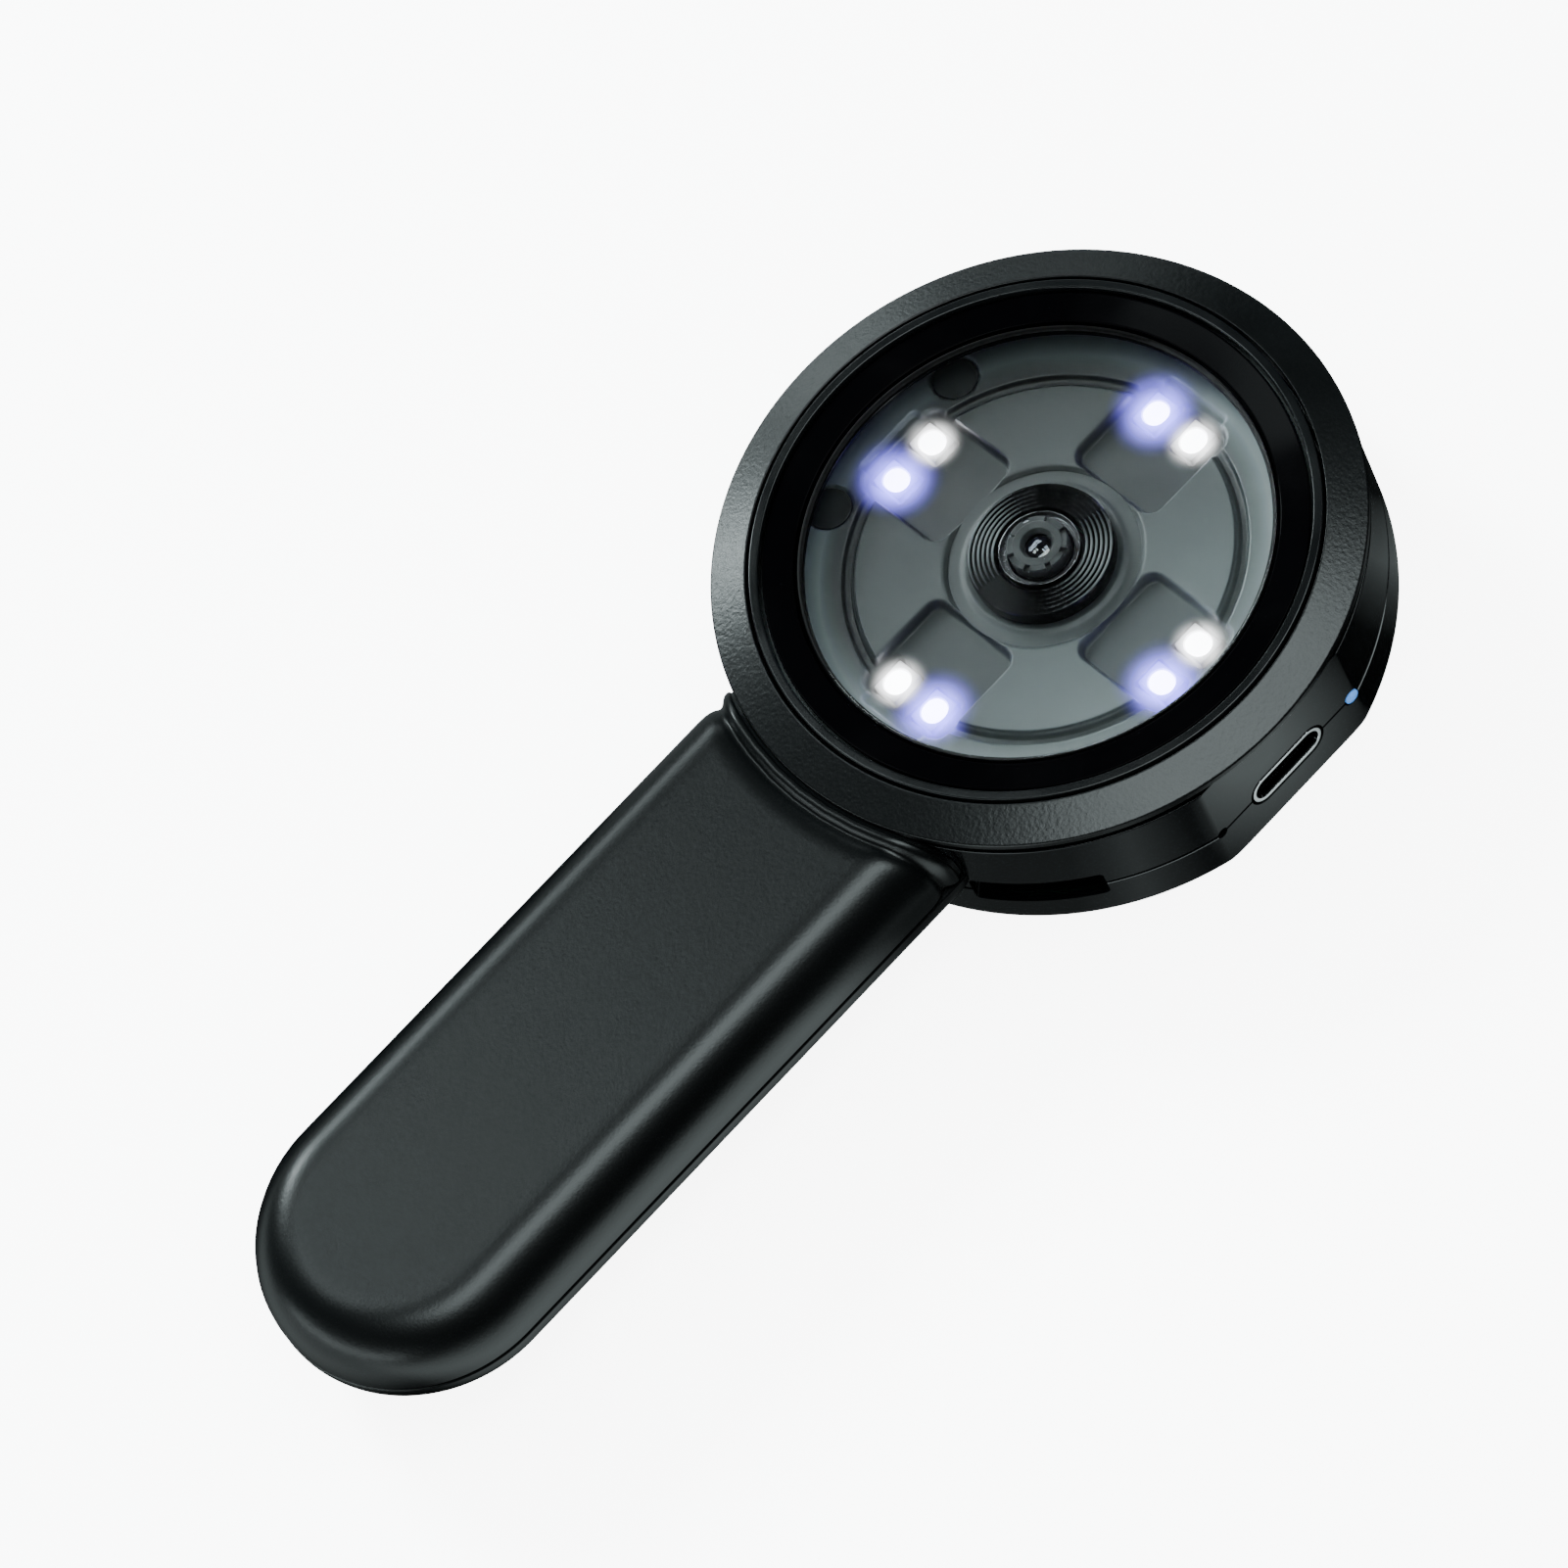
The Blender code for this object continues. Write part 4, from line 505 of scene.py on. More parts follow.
class Paint(Nodes):
    """A material with its Principled shader."""

    def __init__(self, name, **values):
        self.material = bpy.data.materials.new(name)
        self.material.use_nodes = True
        super().__init__(self.material.node_tree)
        self.shader = self.tree.nodes["Principled BSDF"]
        self.set(**values)

    def set(self, **values):
        """Feeds the shader's own inputs."""
        for key, value in values.items():
            self.feed(self.shader.inputs[key.replace("_", " ")], value)

    def marks(self, scale=120.0, contrast=1.0):
        return self.out("ShaderNodeGroup", {"Scale": scale, "Contrast": contrast}, node_tree=MARKS)

    def blend(self, share, first, second):
        """The first colour at a share of 0, and the second at 1."""
        return self.node("ShaderNodeMix", {"Factor": share, 6: first, 7: second}, data_type="RGBA").outputs[2]

    def from_axis(self):
        """Where a point lies from the head's axis, level with it."""
        return self.vector("MULTIPLY_ADD", self.place(), (1, 1, 0), (-HEAD_X * MM, 0, 0))

    def lit_by_lamps(self):
        """Painted light: glow of the lamps on this surface, given as emission in the two lamp colours."""
        halo = self.node("ShaderNodeGroup", node_tree=HALO).outputs
        violet = self.blend(halo["Violet"], (0.0, 0.0, 0.0), (0.19, 0.17, 0.9))
        self.set(Emission_Color=self.blend(halo["White"], violet, (1.0, 1.0, 1.0)), Emission_Strength=12.0)

    def surface(self, roughness, grain=None, marks=(120.0, 1.0)):
        """Two roughnesses told apart by handling marks, and a grain: (scale, height in millimetres,
        strength). Gives the marks back."""
        smears = self.marks(*marks)
        self.set(Roughness=self.spread(smears, *roughness))
        if grain:
            scale, height, strength = grain
            grain_height = self.out("ShaderNodeGroup", {"Scale": scale}, node_tree=GRAIN)
            feeds = {"Height": grain_height, "Distance": height * MM, "Strength": strength}
            self.set(Normal=self.out("ShaderNodeBump", feeds))
        return smears

    def finish(self, colours, *surface):
        """A surface whose marks also tell two colours apart. Gives the colour back."""
        colour = self.blend(self.surface(*surface), *colours)
        self.set(Base_Color=colour)
        return colour


def simple(name, colours, *surface, **values):
    paint = Paint(name, **values)
    paint.finish(colours, *surface)
    return paint.material


satin_bezel = simple("satin_bezel_plastic", ((0.0014, 0.0018, 0.002), (0.002, 0.0026, 0.0029)), (0.28, 0.3),
                     (2600.0, 0.036, 0.85))
satin_handle = simple("satin_handle_plastic", ((0.0008, 0.0012, 0.0014), (0.0011, 0.0016, 0.0018)),
                      (0.31, 0.33), (3300.0, 0.02, 0.7), (45.0, 1.0))
gloss_shell = simple("gloss_shell_plastic", ((0.001, 0.0012, 0.0014), (0.0018, 0.0021, 0.0023)), (0.08, 0.16),
                     (500.0, 0.004, 0.1), (90.0, 1.6))
lip_black = simple("lip_ring_plastic", ((0.0025, 0.003, 0.0033), (0.004, 0.0047, 0.005)), (0.16, 0.24),
                   (3000.0, 0.006, 0.2))
mask_black = simple("mask_gloss_black", ((0.0006, 0.0006, 0.0008), (0.0012, 0.0012, 0.0014)), (0.06, 0.12),
                    (400.0, 0.003, 0.08), (90.0, 1.6), Specular_IOR_Level=0.025)
shroud_black = simple("shroud_moulded_black", ((0.0006, 0.0006, 0.0007), (0.0012, 0.0012, 0.0013)),
                      (0.1, 0.13), (2600.0, 0.001, 0.1), Specular_IOR_Level=0.22)
nut_grey = simple("nut_blasted_grey", ((0.006, 0.0068, 0.007), (0.011, 0.0122, 0.0125)), (0.42, 0.52),
                  (5200.0, 0.03, 0.8), (700.0, 1.0), Specular_IOR_Level=0.3)
recess_black = simple("recess_screw_black", ((0.0028, 0.0034, 0.0034), (0.004, 0.0048, 0.0048)), (0.5, 0.6),
                      (3000.0, 0.01, 0.4), Specular_IOR_Level=0.3)
edge_black_and_shade = simple("window_edge_black", ((0.001, 0.001, 0.0012), (0.002, 0.002, 0.0022)), (0.4, 0.5),
                    (3000.0, 0.004, 0.3), Specular_IOR_Level=0.2)
bright_steel = simple("bright_turned_steel", ((0.3, 0.3, 0.31), (0.4, 0.4, 0.42)), (0.12, 0.2),
                      (1500.0, 0.004, 0.2), Metallic=1.0)
dull_steel = simple("dull_stamped_steel", ((0.16, 0.16, 0.17), (0.24, 0.24, 0.25)), (0.3, 0.45),
                    (1500.0, 0.006, 0.3), Metallic=1.0)
contact_gold = simple("contact_gold", ((0.72, 0.5, 0.2), (0.85, 0.62, 0.28)), (0.2, 0.3),
                      (2500.0, 0.004, 0.2), Metallic=1.0)
inner_black = simple("inner_moulded_black", ((0.006, 0.006, 0.007), (0.012, 0.012, 0.013)), (0.4, 0.55),
                     (1800.0, 0.012, 0.4))
screw_black = simple("screw_black_oxide", ((0.012, 0.012, 0.013), (0.03, 0.03, 0.032)), (0.25, 0.4),
                     (1500.0, 0.01, 0.4), Metallic=0.9)
key_plastic = simple("key_soft_black", ((0.018, 0.019, 0.02), (0.026, 0.027, 0.028)), (0.5, 0.6),
                     (2600.0, 0.01, 0.4))
key_mark = simple("key_mark_white", ((0.55, 0.56, 0.56), (0.66, 0.67, 0.67)), (0.45, 0.6),
                  (2600.0, 0.006, 0.3))
board_green = simple("board_green", ((0.01, 0.075, 0.03), (0.015, 0.12, 0.05)), (0.3, 0.42),
                     (700.0, 0.02, 0.5), (500.0, 2.0))
board_white = simple("board_white", ((0.5, 0.52, 0.5), (0.64, 0.66, 0.64)), (0.35, 0.5),
                     (900.0, 0.015, 0.4), (500.0, 2.0))
silicon = simple("sensor_silicon", ((0.02, 0.022, 0.035), (0.05, 0.045, 0.07)), (0.08, 0.16),
                 (3000.0, 0.002, 0.2), (400.0, 1.0))
foil = simple("cell_foil", ((0.5, 0.51, 0.53), (0.62, 0.63, 0.65)), (0.28, 0.42), (350.0, 0.06, 0.5),
              Metallic=0.9)
foam = simple("pad_foam", ((0.03, 0.03, 0.032), (0.06, 0.06, 0.064)), (0.85, 0.95), (1800.0, 0.06, 0.9))
wire_red = simple("lead_red_sleeve", ((0.42, 0.02, 0.018), (0.55, 0.04, 0.03)), (0.4, 0.5),
                  (1500.0, 0.01, 0.3))
ribbon_tan = simple("ribbon_polyimide", ((0.38, 0.16, 0.03), (0.5, 0.24, 0.06)), (0.25, 0.35),
                    (1200.0, 0.008, 0.3))
plunger_white = simple("plunger_white", ((0.6, 0.6, 0.58), (0.7, 0.7, 0.68)), (0.4, 0.5),
                       (1800.0, 0.01, 0.3))
blade_grey = simple("port_blade_grey", ((0.09, 0.092, 0.094), (0.13, 0.132, 0.134)), (0.3, 0.4),
                    (1800.0, 0.006, 0.3))


def make_plate_grey():
    """Light plate: satin grey, told apart in stops: darker in its pockets, recesses and groove, lighter
    on its sectors, with painted shade darker towards +Y and +X and painted light lifting it near its rim."""
    paint = Paint("light_plate_grey")
    paint.surface((0.42, 0.5), (2400.0, 0.01, 0.35))
    x, y, z = paint.axes(paint.place())
    off_axis = paint.from_axis()
    # Painted light near the rim: it lifts the mask ring's shadow there, most on the +Y side
    rim_light_lean = paint.vector("DOT_PRODUCT", off_axis, (4.0, 82.0, 0))
    rim_light_bow = paint.math("MULTIPLY", y, y, -1300.0)
    rim_light_skew = paint.math("MULTIPLY", paint.math("SUBTRACT", x, HEAD_X * MM), y, -1900.0)
    rim_light_mask = paint.spread(paint.vector("LENGTH", off_axis), 0.0, 1.0, 0.019, 0.0214)
    low = paint.spread(z, -0.75, 0.0, 0.0110, 0.0117)
    raised = paint.spread(z, 0.0, 0.4, 0.01185, 0.01208)
    # Painted shade across the plate: darker towards +Y (the back) and +X, the way the light falls on it
    along = paint.spread(x, 0.5, -0.5, HEAD_X * MM - 0.025, HEAD_X * MM + 0.025)
    across = paint.spread(y, 2.45, -2.45, -0.025, 0.025)
    rim = paint.math("MULTIPLY", rim_light_mask, paint.math("ADD", rim_light_lean, rim_light_bow, rim_light_skew, 2.9))
    smears = paint.spread(paint.marks(150.0), -0.08, 0.08)
    stops = paint.math("ADD", low, raised, along, across, rim, smears)
    tone = paint.math("MULTIPLY", paint.math("POWER", 2.0, stops), 0.0136)
    paint.set(Base_Color=paint.blend(tone, (0.0, 0.0, 0.0), (0.86, 1.0, 1.0)))
    paint.lit_by_lamps()
    return paint.material


def make_turned_black():
    """Black ridges with a painted highlight on their crests on two opposite sides, where turned rings catch
    the light.
    """
    paint = Paint("shroud_turned_ridges", Specular_IOR_Level=0.3)
    black = paint.finish(((0.0006, 0.0006, 0.0007), (0.0012, 0.0012, 0.0013)), (0.1, 0.14),
                         (2600.0, 0.001, 0.1))
    off_axis = paint.from_axis()
    # Painted highlight: the crests are lighter in two opposite lobes round the axis, in place of real glints
    side = paint.vector("DOT_PRODUCT", paint.vector("NORMALIZE", off_axis), (-0.45, 0.893, 0))
    painted_glint_lobes = paint.math("POWER", paint.math("ABSOLUTE", side), 5.0)
    fall = paint.math("MULTIPLY", paint.vector("LENGTH", off_axis), 0.066)
    rise = paint.math("ADD", paint.axes(paint.place())["Z"], fall)
    painted_glint_crest = paint.spread(rise, 0.0, 1.0, 0.01392, 0.014)
    paint.set(Base_Color=paint.blend(paint.math("MULTIPLY", painted_glint_lobes, painted_glint_crest), black, (0.06, 0.064, 0.066)))
    return paint.material


def make_lamp_body():
    """Pale moulded lamp body with painted light: it glows where its own lit face lights it."""
    paint = Paint("led_pale_body")
    paint.finish(((0.03, 0.03, 0.034), (0.05, 0.05, 0.055)), (0.4, 0.5), (2600.0, 0.01, 0.3))
    paint.lit_by_lamps()
    return paint.material


def make_clear(name, tint, coat=0.0, bend=1.46):
    """Clear glass with faint smears. It lets light through to what is behind it."""
    paint = Paint(name, Transmission_Weight=1.0, IOR=bend, Coat_Weight=coat)
    smears = paint.marks(80.0, 2.0)
    shadow = paint.node("ShaderNodeLightPath").outputs["Is Shadow Ray"]
    paint.set(Base_Color=paint.blend(smears, tint, tuple(c * 0.985 for c in tint)),
              Roughness=paint.spread(smears, 0.0, 0.015), Alpha=paint.spread(shadow, 1.0, 0.0))
    return paint.material


def make_light(name, edge, core, strength):
    """Lit face of a lamp, mottled between two near colours."""
    paint = Paint(name, Emission_Strength=strength)
    paint.finish((edge, core), (0.3, 0.4), (2600.0, 0.01, 0.3))
    paint.set(Emission_Color=paint.blend(paint.marks(900.0), edge, core))
    return paint.material


def make_screen_glass():
    """Black cover glass with the lit area's slightly bluer oblong behind it."""
    paint = Paint("screen_cover_glass")
    paint.surface((0.03, 0.08), (300.0, 0.002, 0.05), (70.0, 2.0))
    x, y, _ = paint.axes(paint.place())
    inside = []
    for value, centre, half in ((x, HEAD_X, 20.1), (y, 0.0, 16.0)):
        away = paint.math("ABSOLUTE", paint.math("SUBTRACT", value, centre * MM))
        inside.append(paint.spread(away, 1.0, 0.0, (half - 0.05) * MM, (half + 0.05) * MM))
    border = paint.blend(paint.marks(70.0), (0.002, 0.002, 0.0022), (0.004, 0.004, 0.0044))
    paint.set(Base_Color=paint.blend(paint.math("MULTIPLY", *inside), border, (0.012, 0.016, 0.024)))
    return paint.material


def make_port_steel():
    """Plated steel with painted shade: it darkens with depth inside the port."""
    paint = Paint("port_plated_steel", Metallic=1.0)
    plated = paint.finish(((0.8, 0.81, 0.82), (0.9, 0.91, 0.92)), (0.08, 0.14), (1800.0, 0.004, 0.2))
    # Painted shade: darker deeper into the port
    painted_shade_depth = paint.spread(paint.axes(paint.place())["Y"], 0.0, 1.0, -0.02936, -0.0289)
    paint.set(Base_Color=paint.blend(painted_shade_depth, plated, (0.02, 0.02, 0.021)))
    return paint.material


plate_grey = make_plate_grey()
port_steel = make_port_steel()
window_clear = make_clear("window_clear", (0.97, 0.98, 0.98))
lens_clear = make_clear("lens_clear", (0.82, 0.86, 1.0), 1.0, 2.0)
screen_glass = make_screen_glass()
led_shell = make_lamp_body()
turned_black = make_turned_black()
led_white = make_light("led_lit_white", (0.9, 0.93, 1.0), (1.0, 1.0, 1.0), 60.0)
led_violet = make_light("led_lit_violet", (0.6, 0.58, 1.0), (0.8, 0.78, 1.0), 45.0)
signal_blue = make_light("indicator_light_blue", (0.05, 0.2, 0.6), (0.1, 0.3, 0.78), 0.34)


# Head

def make_rings():
    bezel = soften([(BEZEL_RADIUS, RING_SEAT, 0.1), (BEZEL_RADIUS, BEZEL_EDGE, 0.16),
                    (BEZEL_BORE, BEZEL_CREST, 0.2), (BEZEL_BORE, RING_SEAT, 0.1)], 5)
    turned("satin_bezel", bezel, FINE_STEPS, satin_bezel, "satin_black", "front_bezel")
    lip = soften([(LIP_RADIUS, RING_SEAT, 0.1), (LIP_RADIUS, LIP_TOP, 0.16), (LIP_BORE, LIP_TOP, 0.16),
                  (LIP_BORE, RING_SEAT, 0.1)])
    turned("lip_trim", lip, FINE_STEPS, lip_black, "satin_black", "bezel_lip_ring")
    shelf = RING_SEAT + 0.4
    step = WINDOW_RADIUS + 0.3
    mask = soften([(MASK_RADIUS, RING_SEAT), (MASK_RADIUS, MASK_TOP, 0.18), (step, WINDOW_TOP, 0.12),
                   (step, shelf, 0.05), (MASK_BORE, shelf, 0.08), (MASK_BORE, RING_SEAT)])
    turned("black_mask", mask, FINE_STEPS, mask_black, "gloss_black", "window_mask_ring")


def make_window():
    """The pane, with a blackened edge and a blackened seat under it, and painted shade on its top bevel's +Y
    side.
    """
    corner = ((0.6, WINDOW_LOW), (0.48, WINDOW_LOW), (0.1, WINDOW_LOW), (0.0, WINDOW_LOW + 0.06),
              (0.0, WINDOW_TOP - 0.18), (0.05, WINDOW_TOP - 0.07), (0.18, WINDOW_TOP), (0.3, WINDOW_TOP))
    outline = [(0, WINDOW_LOW)] + [(WINDOW_RADIUS - inset, z) for inset, z in corner] + [(0, WINDOW_TOP)]
    pane = make_piece("clear_window", [revolve(outline, FINE_STEPS)], window_clear, 40)
    pane.data.materials.append(edge_black_and_shade)
    for face in pane.data.polygons:
        reach = math.hypot(face.center.x - HEAD_X * MM, face.center.y)
        seat = face.center.z < (WINDOW_LOW + 0.1) * MM and reach > (WINDOW_RADIUS - 0.4) * MM
        rim = reach > (WINDOW_RADIUS - 0.3) * MM
        # Painted shade: on the +Y side the top bevel is black too, where the back lights would glint
        edge = rim and (abs(face.normal.z) < 0.5 or face.center.y > 6 * MM)
        if seat or edge:
            face.material_index = 1
    wear(pane, "clear_glass", "window_glass")


def wall_openings():
    """Port, indicator, pinhole, card slot and neck, as shapes to cut from a head shell."""
    port = stadium(PORT_SIZE[0] + 0.6, PORT_SIZE[1] + 0.6, 16)
    through = (-FLAT - 2.1, -FLAT_INSIDE + 1.8)
    cuts = [loft([on_flat(outline, depth, x) for depth in through])
            for outline, x in ((port, 0.0), (circle(0.95), SIGNAL_X), (circle(0.6), -SIGNAL_X))]
    slot = loft([[(x, y, z + SEAM) for y, z in rounded_oblong(6.3, 1.8, 0.5)] for x in (26.0, 33.0)])
    neck = loft([[(x, y, z) for y, z in ((-8.3, 4.2), (8.3, 4.2), (8.3, 9.4), (-8.3, 9.4))]
                 for x in (-33.0, -22.0)])
    return cuts + [moved(slot, turn=SLOT_TURN), neck]


def make_shells():
    front = soften([(WALL, 5.32, 0.12), (WALL, 13.2, 0.14), (30.2, 13.2), (30.2, 14.0), (27.2, 14.0),
                    (27.2, 9.9), (23.6, 9.9), (23.6, 8.9), (29.0, 8.9), (29.0, 5.32)])
    rear = soften([(WALL, 0.0, 0.5), (WALL, 4.94), (30.56, 5.02), (29.0, 5.02), (29.0, 2.3), (25.5, 2.3),
                   (25.5, 1.3), (26.6, 1.3), (26.6, 0.0, 0.15)])
    for name, outline, node in (("upper_head_shell", front, "head_front_shell"),
                                ("lower_head_shell", rear, "head_rear_shell")):
        shape = revolve(outline, FINE_STEPS, (FLAT, FLAT_INSIDE, 29.2))
        shell = make_piece(name, [shape], gloss_shell)
        wear(carve(shell, wall_openings()), "gloss_black", node)
    glass = [(0, 0.2), (26.1, 0.2), (26.24, 0.26), (26.3, 0.4), (26.3, 1.0), (0, 1.0)]
    turned("screen_glass", glass, FINE_STEPS, screen_glass, "cover_glass", "display_cover_glass", SHARP)


# Light plate and lamps

def soft_inside(distance, width):
    """1 inside a shape, 0 outside, with a soft edge as wide as given."""
    t = np.clip(0.5 - distance / width, 0, 1)
    return t * t * (3 - 2 * t)


def oblong_distance(x, y, half_x, half_y, corner):
    """Distance to a rounded oblong about the origin, below 0 inside it."""
    qx = np.abs(x) - half_x + corner
    qy = np.abs(y) - half_y + corner
    return np.hypot(np.maximum(qx, 0), np.maximum(qy, 0)) + np.minimum(np.maximum(qx, qy), 0) - corner


def brought_to(level, z, distance, width):
    """The face with the inside of a shape at one level."""
    inside = soft_inside(distance, width)
    return z * (1 - inside) + level * inside


def plate_height(x, y):
    """Height of the light plate's face at each point."""
    r = np.hypot(x, y)
    z = PLATE_FACE + 0.3 * soft_inside(9.4 - r, 0.55) * soft_inside(r - 18.0, 0.22)
    z -= 0.6 * soft_inside(np.abs(r - 18.75) - 0.42, 0.3)
    for quarter in range(4):
        c, s = math.cos(quarter * QUARTER), math.sin(quarter * QUARTER)
        u = x * c + y * s
        v = -x * s + y * c
        z = brought_to(NOTCH_FLOOR, z, oblong_distance(u - 19.75, v, 1.25, 3.7, 0.4), 0.25)
        z = brought_to(POCKET_FLOOR, z, oblong_distance(u - 14.5, v, 5.4, 5.25, 1.4), 0.55)
        for side in LAMP_SIDES:
            pit = oblong_distance(u - LAMP_REACH, v - side, 1.98, 1.63, 0.3)
            z = brought_to(PIT_FLOOR, z, pit, 0.14)
    for side in (PLATE_SCREW_X, -PLATE_SCREW_X):
        z = brought_to(RECESS_FLOOR, z, np.hypot(x - side, y - PLATE_SCREW_Y) - 2.3, 0.22)
    hub = HUB_FACE + 0.2 * soft_inside(r - 7.8, 0.5)
    return brought_to(PLATE_RIM, np.where(r < 9.2, hub, z), 24.08 - r, 0.16)


def make_light_plate():
    """The plate's face from its height at each point, with closer rings at its edges."""
    radii = set(np.round(np.arange(7.4, 24.0, 0.165), 3))
    radii |= {7.4, 9.15, 9.2, 9.25, 9.3, 9.35, 9.4, 9.46, 17.9, 18.0, 18.1, 18.5, 18.6, 18.7, 19.1, 19.2}
    radii |= {19.3, 23.9, 23.98, 24.03, 24.08, 24.13, 24.18, 25.5, PLATE_RADIUS - 0.1, PLATE_RADIUS}
    steps = 720
    angles = np.linspace(0, 2 * math.pi, steps, endpoint=False)
    r, a = np.meshgrid(sorted(radii), angles)
    x, y = r * np.cos(a), r * np.sin(a)
    z = plate_height(x, y)
    z[:, -1] = PLATE_RIM - 0.1
    underside = ((PLATE_RADIUS, PLATE_LOW), (6.4, PLATE_LOW), (6.4, HUB_FACE - 0.1))
    points = []
    for k, angle in enumerate(angles):
        points += zip(x[k], y[k], z[k])
        points += [(reach * math.cos(angle), reach * math.sin(angle), low) for reach, low in underside]
    shape = (points, strips(steps, len(radii) + len(underside), looped=True))
    wear(make_piece("grey_light_plate", [shape], plate_grey, 60), "plate_grey", "light_plate")


def lamp_part(rows, side):
    """Part of a lamp, through rows of (half length, half width, corner, height)."""
    return loft([[(x + LAMP_REACH, y + side, z) for x, y in rounded_oblong(half_x, half_y, corner)]
                 for half_x, half_y, corner, z in rows])


def make_lamps(ring):
    shell = ((1.75, 1.4, 0.12, PLATE_LOW), (1.75, 1.4, 0.12, LAMP_TOP - 0.1), (1.7, 1.35, 0.12, LAMP_TOP),
             (1.4, 1.28, 1.24, LAMP_TOP), (1.3, 1.2, 1.16, LAMP_TOP - 0.22))
    face = [(1.27 * share, 1.17 * share, 1.12 * share, LAMP_TOP - depth)
            for share, depth in ((1.0, 0.3), (1.0, 0.14), (0.8, 0.06), (0.45, 0.01))]
    pair = joined([lamp_part(shell, side) for side in LAMP_SIDES])
    values = {"Count": 4, "Centre": (HEAD_X * MM, 0, 0)}
    numbers = [f"led_{n}" for n in range(1, 9)]
    wear(grown("led_shells", pair, ring, values, led_shell), "led_body", *numbers)
    for name, lit, material in (("led_white_faces", True, led_white),
                                ("led_violet_faces", False, led_violet)):
        faces = [moved(lamp_part(face, side), turn=quarter * QUARTER)
                 for quarter, side, white in LAMPS if white == lit]
        wear(make_piece(name, faces, material), "led_body", *numbers)


# Lens

def make_lens(ring, ridges):
    body = soften([(SHROUD_RADIUS, SHROUD_FOOT), (SHROUD_RADIUS, 13.45, 0.2), (SHROUD_BORE, 13.62, 0.1),
                   (SHROUD_BORE, SHROUD_FOOT)])
    turned("ridged_shroud", body, 160, shroud_black, "lens_black", "lens_shroud")
    values = {"Count": 6, "Centre": (HEAD_X * MM, 0, 13.55 * MM), "Inner": (SHROUD_BORE + 0.2) * MM,
              "Outer": (SHROUD_RADIUS - 0.23) * MM, "Fall": 0.15 * MM, "Section": 0.17 * MM}
    seed = ([(0, 0, 0), (0.1, 0, 0), (0, 0.1, 0)], [(0, 1, 2)])
    wear(grown("shroud_ridges", seed, ridges, values, turned_black, 60), "lens_black", "lens_shroud")
    steel = soften([(3.86, 12.9), (3.86, 13.8, 0.04), (3.76, 13.8, 0.04), (3.6, 13.2), (3.2, 13.2),
                    (3.2, 12.9)])
    turned("bright_ring", steel, 128, bright_steel, "lens_ring", "lens_retaining_ring")
    nut = soften([(2.9, NUT_LOW), (2.9, 14.2, 0.06), (2.36, 14.2), (2.36, 14.7, 0.08), (1.6, 14.7, 0.08),
                  (1.25, 14.2, 0.05), (1.7, 13.9), (1.7, NUT_LOW)])
    turned("notched_nut", nut, 96, nut_grey, "lens_black", "lens_nut")
    outline = ((2.3, 14.1), (2.3, 14.68), (2.82, 14.68), (2.9, 14.6), (2.9, 14.1))
    tooth = loft([[(r * math.cos(a), r * math.sin(a), z) for r, z in outline]
                  for a in np.linspace(math.radians(-16.5), math.radians(16.5), 8)])
    values = {"Count": 8, "Centre": (HEAD_X * MM, 0, 0)}
    wear(grown("nut_teeth", tooth, ring, values, nut_grey), "lens_black", "lens_nut")
    low, edge, rise = 12.4, NUT_LOW, 0.6
    dome = [(0, low), (LENS_RADIUS, low), (LENS_RADIUS, edge)]
    dome += [(LENS_RADIUS * math.cos(a), edge + rise * math.sin(a)) for a in np.linspace(0.1, QUARTER, 10)]
    turned("front_lens", dome, 64, lens_clear, "clear_glass", "lens_front_element")


# Handle

def section(top, inset=0.0, steps=9):
    """Half section of a handle shell from the middle to the parting edge, as (distance, z)."""
    half = HANDLE_HALF - inset
    if top:
        face, reach, edge, sign = HANDLE_TOP - inset, 5.6 - inset, 8.55, 1
    else:
        face, reach, edge, sign = HANDLE_BASE + inset, 2.6 - inset, 8.25, -1
    points = [(share * (half - reach), face) for share in (0.0, 0.35, 0.7, 0.9)]
    for k in range(steps + 1):
        a = QUARTER * k / steps
        points.append((half - reach + reach * math.sin(a), face - sign * reach * (1 - math.cos(a))))
    lip = 0.0 if inset else 0.12
    return points + [(half, edge + sign * lip), (half - lip, edge)]


def normals(points, sign):
    """Outward directions along a section."""
    out = []
    for i in range(len(points)):
        a = points[max(i - 1, 0)]
        b = points[min(i + 1, len(points) - 1)]
        d, z = b[0] - a[0], b[1] - a[1]
        length = math.hypot(d, z) or 1.0
        out.append((-z / length * sign, d / length * sign))
    return out


def near_head(radius, z):
    """Start of the handle: it reaches to the wall below the bezel, and stays clear of the bezel."""
    if radius > BEZEL_RADIUS + 0.31:
        return radius
    return BEZEL_RADIUS + 0.05 if z > RING_SEAT - 0.4 else WALL + 0.08


def handle_rows(points, band, sign):
    """Rows of a section along the handle: each band radius, drawn in by its depth, then the round end."""
    rows = []
    for radius, depth in band:
        drawn = [(d - depth * nd, z - depth * nz) for (d, z), (nd, nz) in zip(points, normals(points, sign))]
        rows.append([(-math.sqrt(near_head(radius, z) ** 2 - d ** 2), d, z) for d, z in drawn])
    for a in np.linspace(0, QUARTER, 49):
        rows.append([(HANDLE_END_X - d * math.sin(a), d * math.cos(a), z) for d, z in points])
    return rows


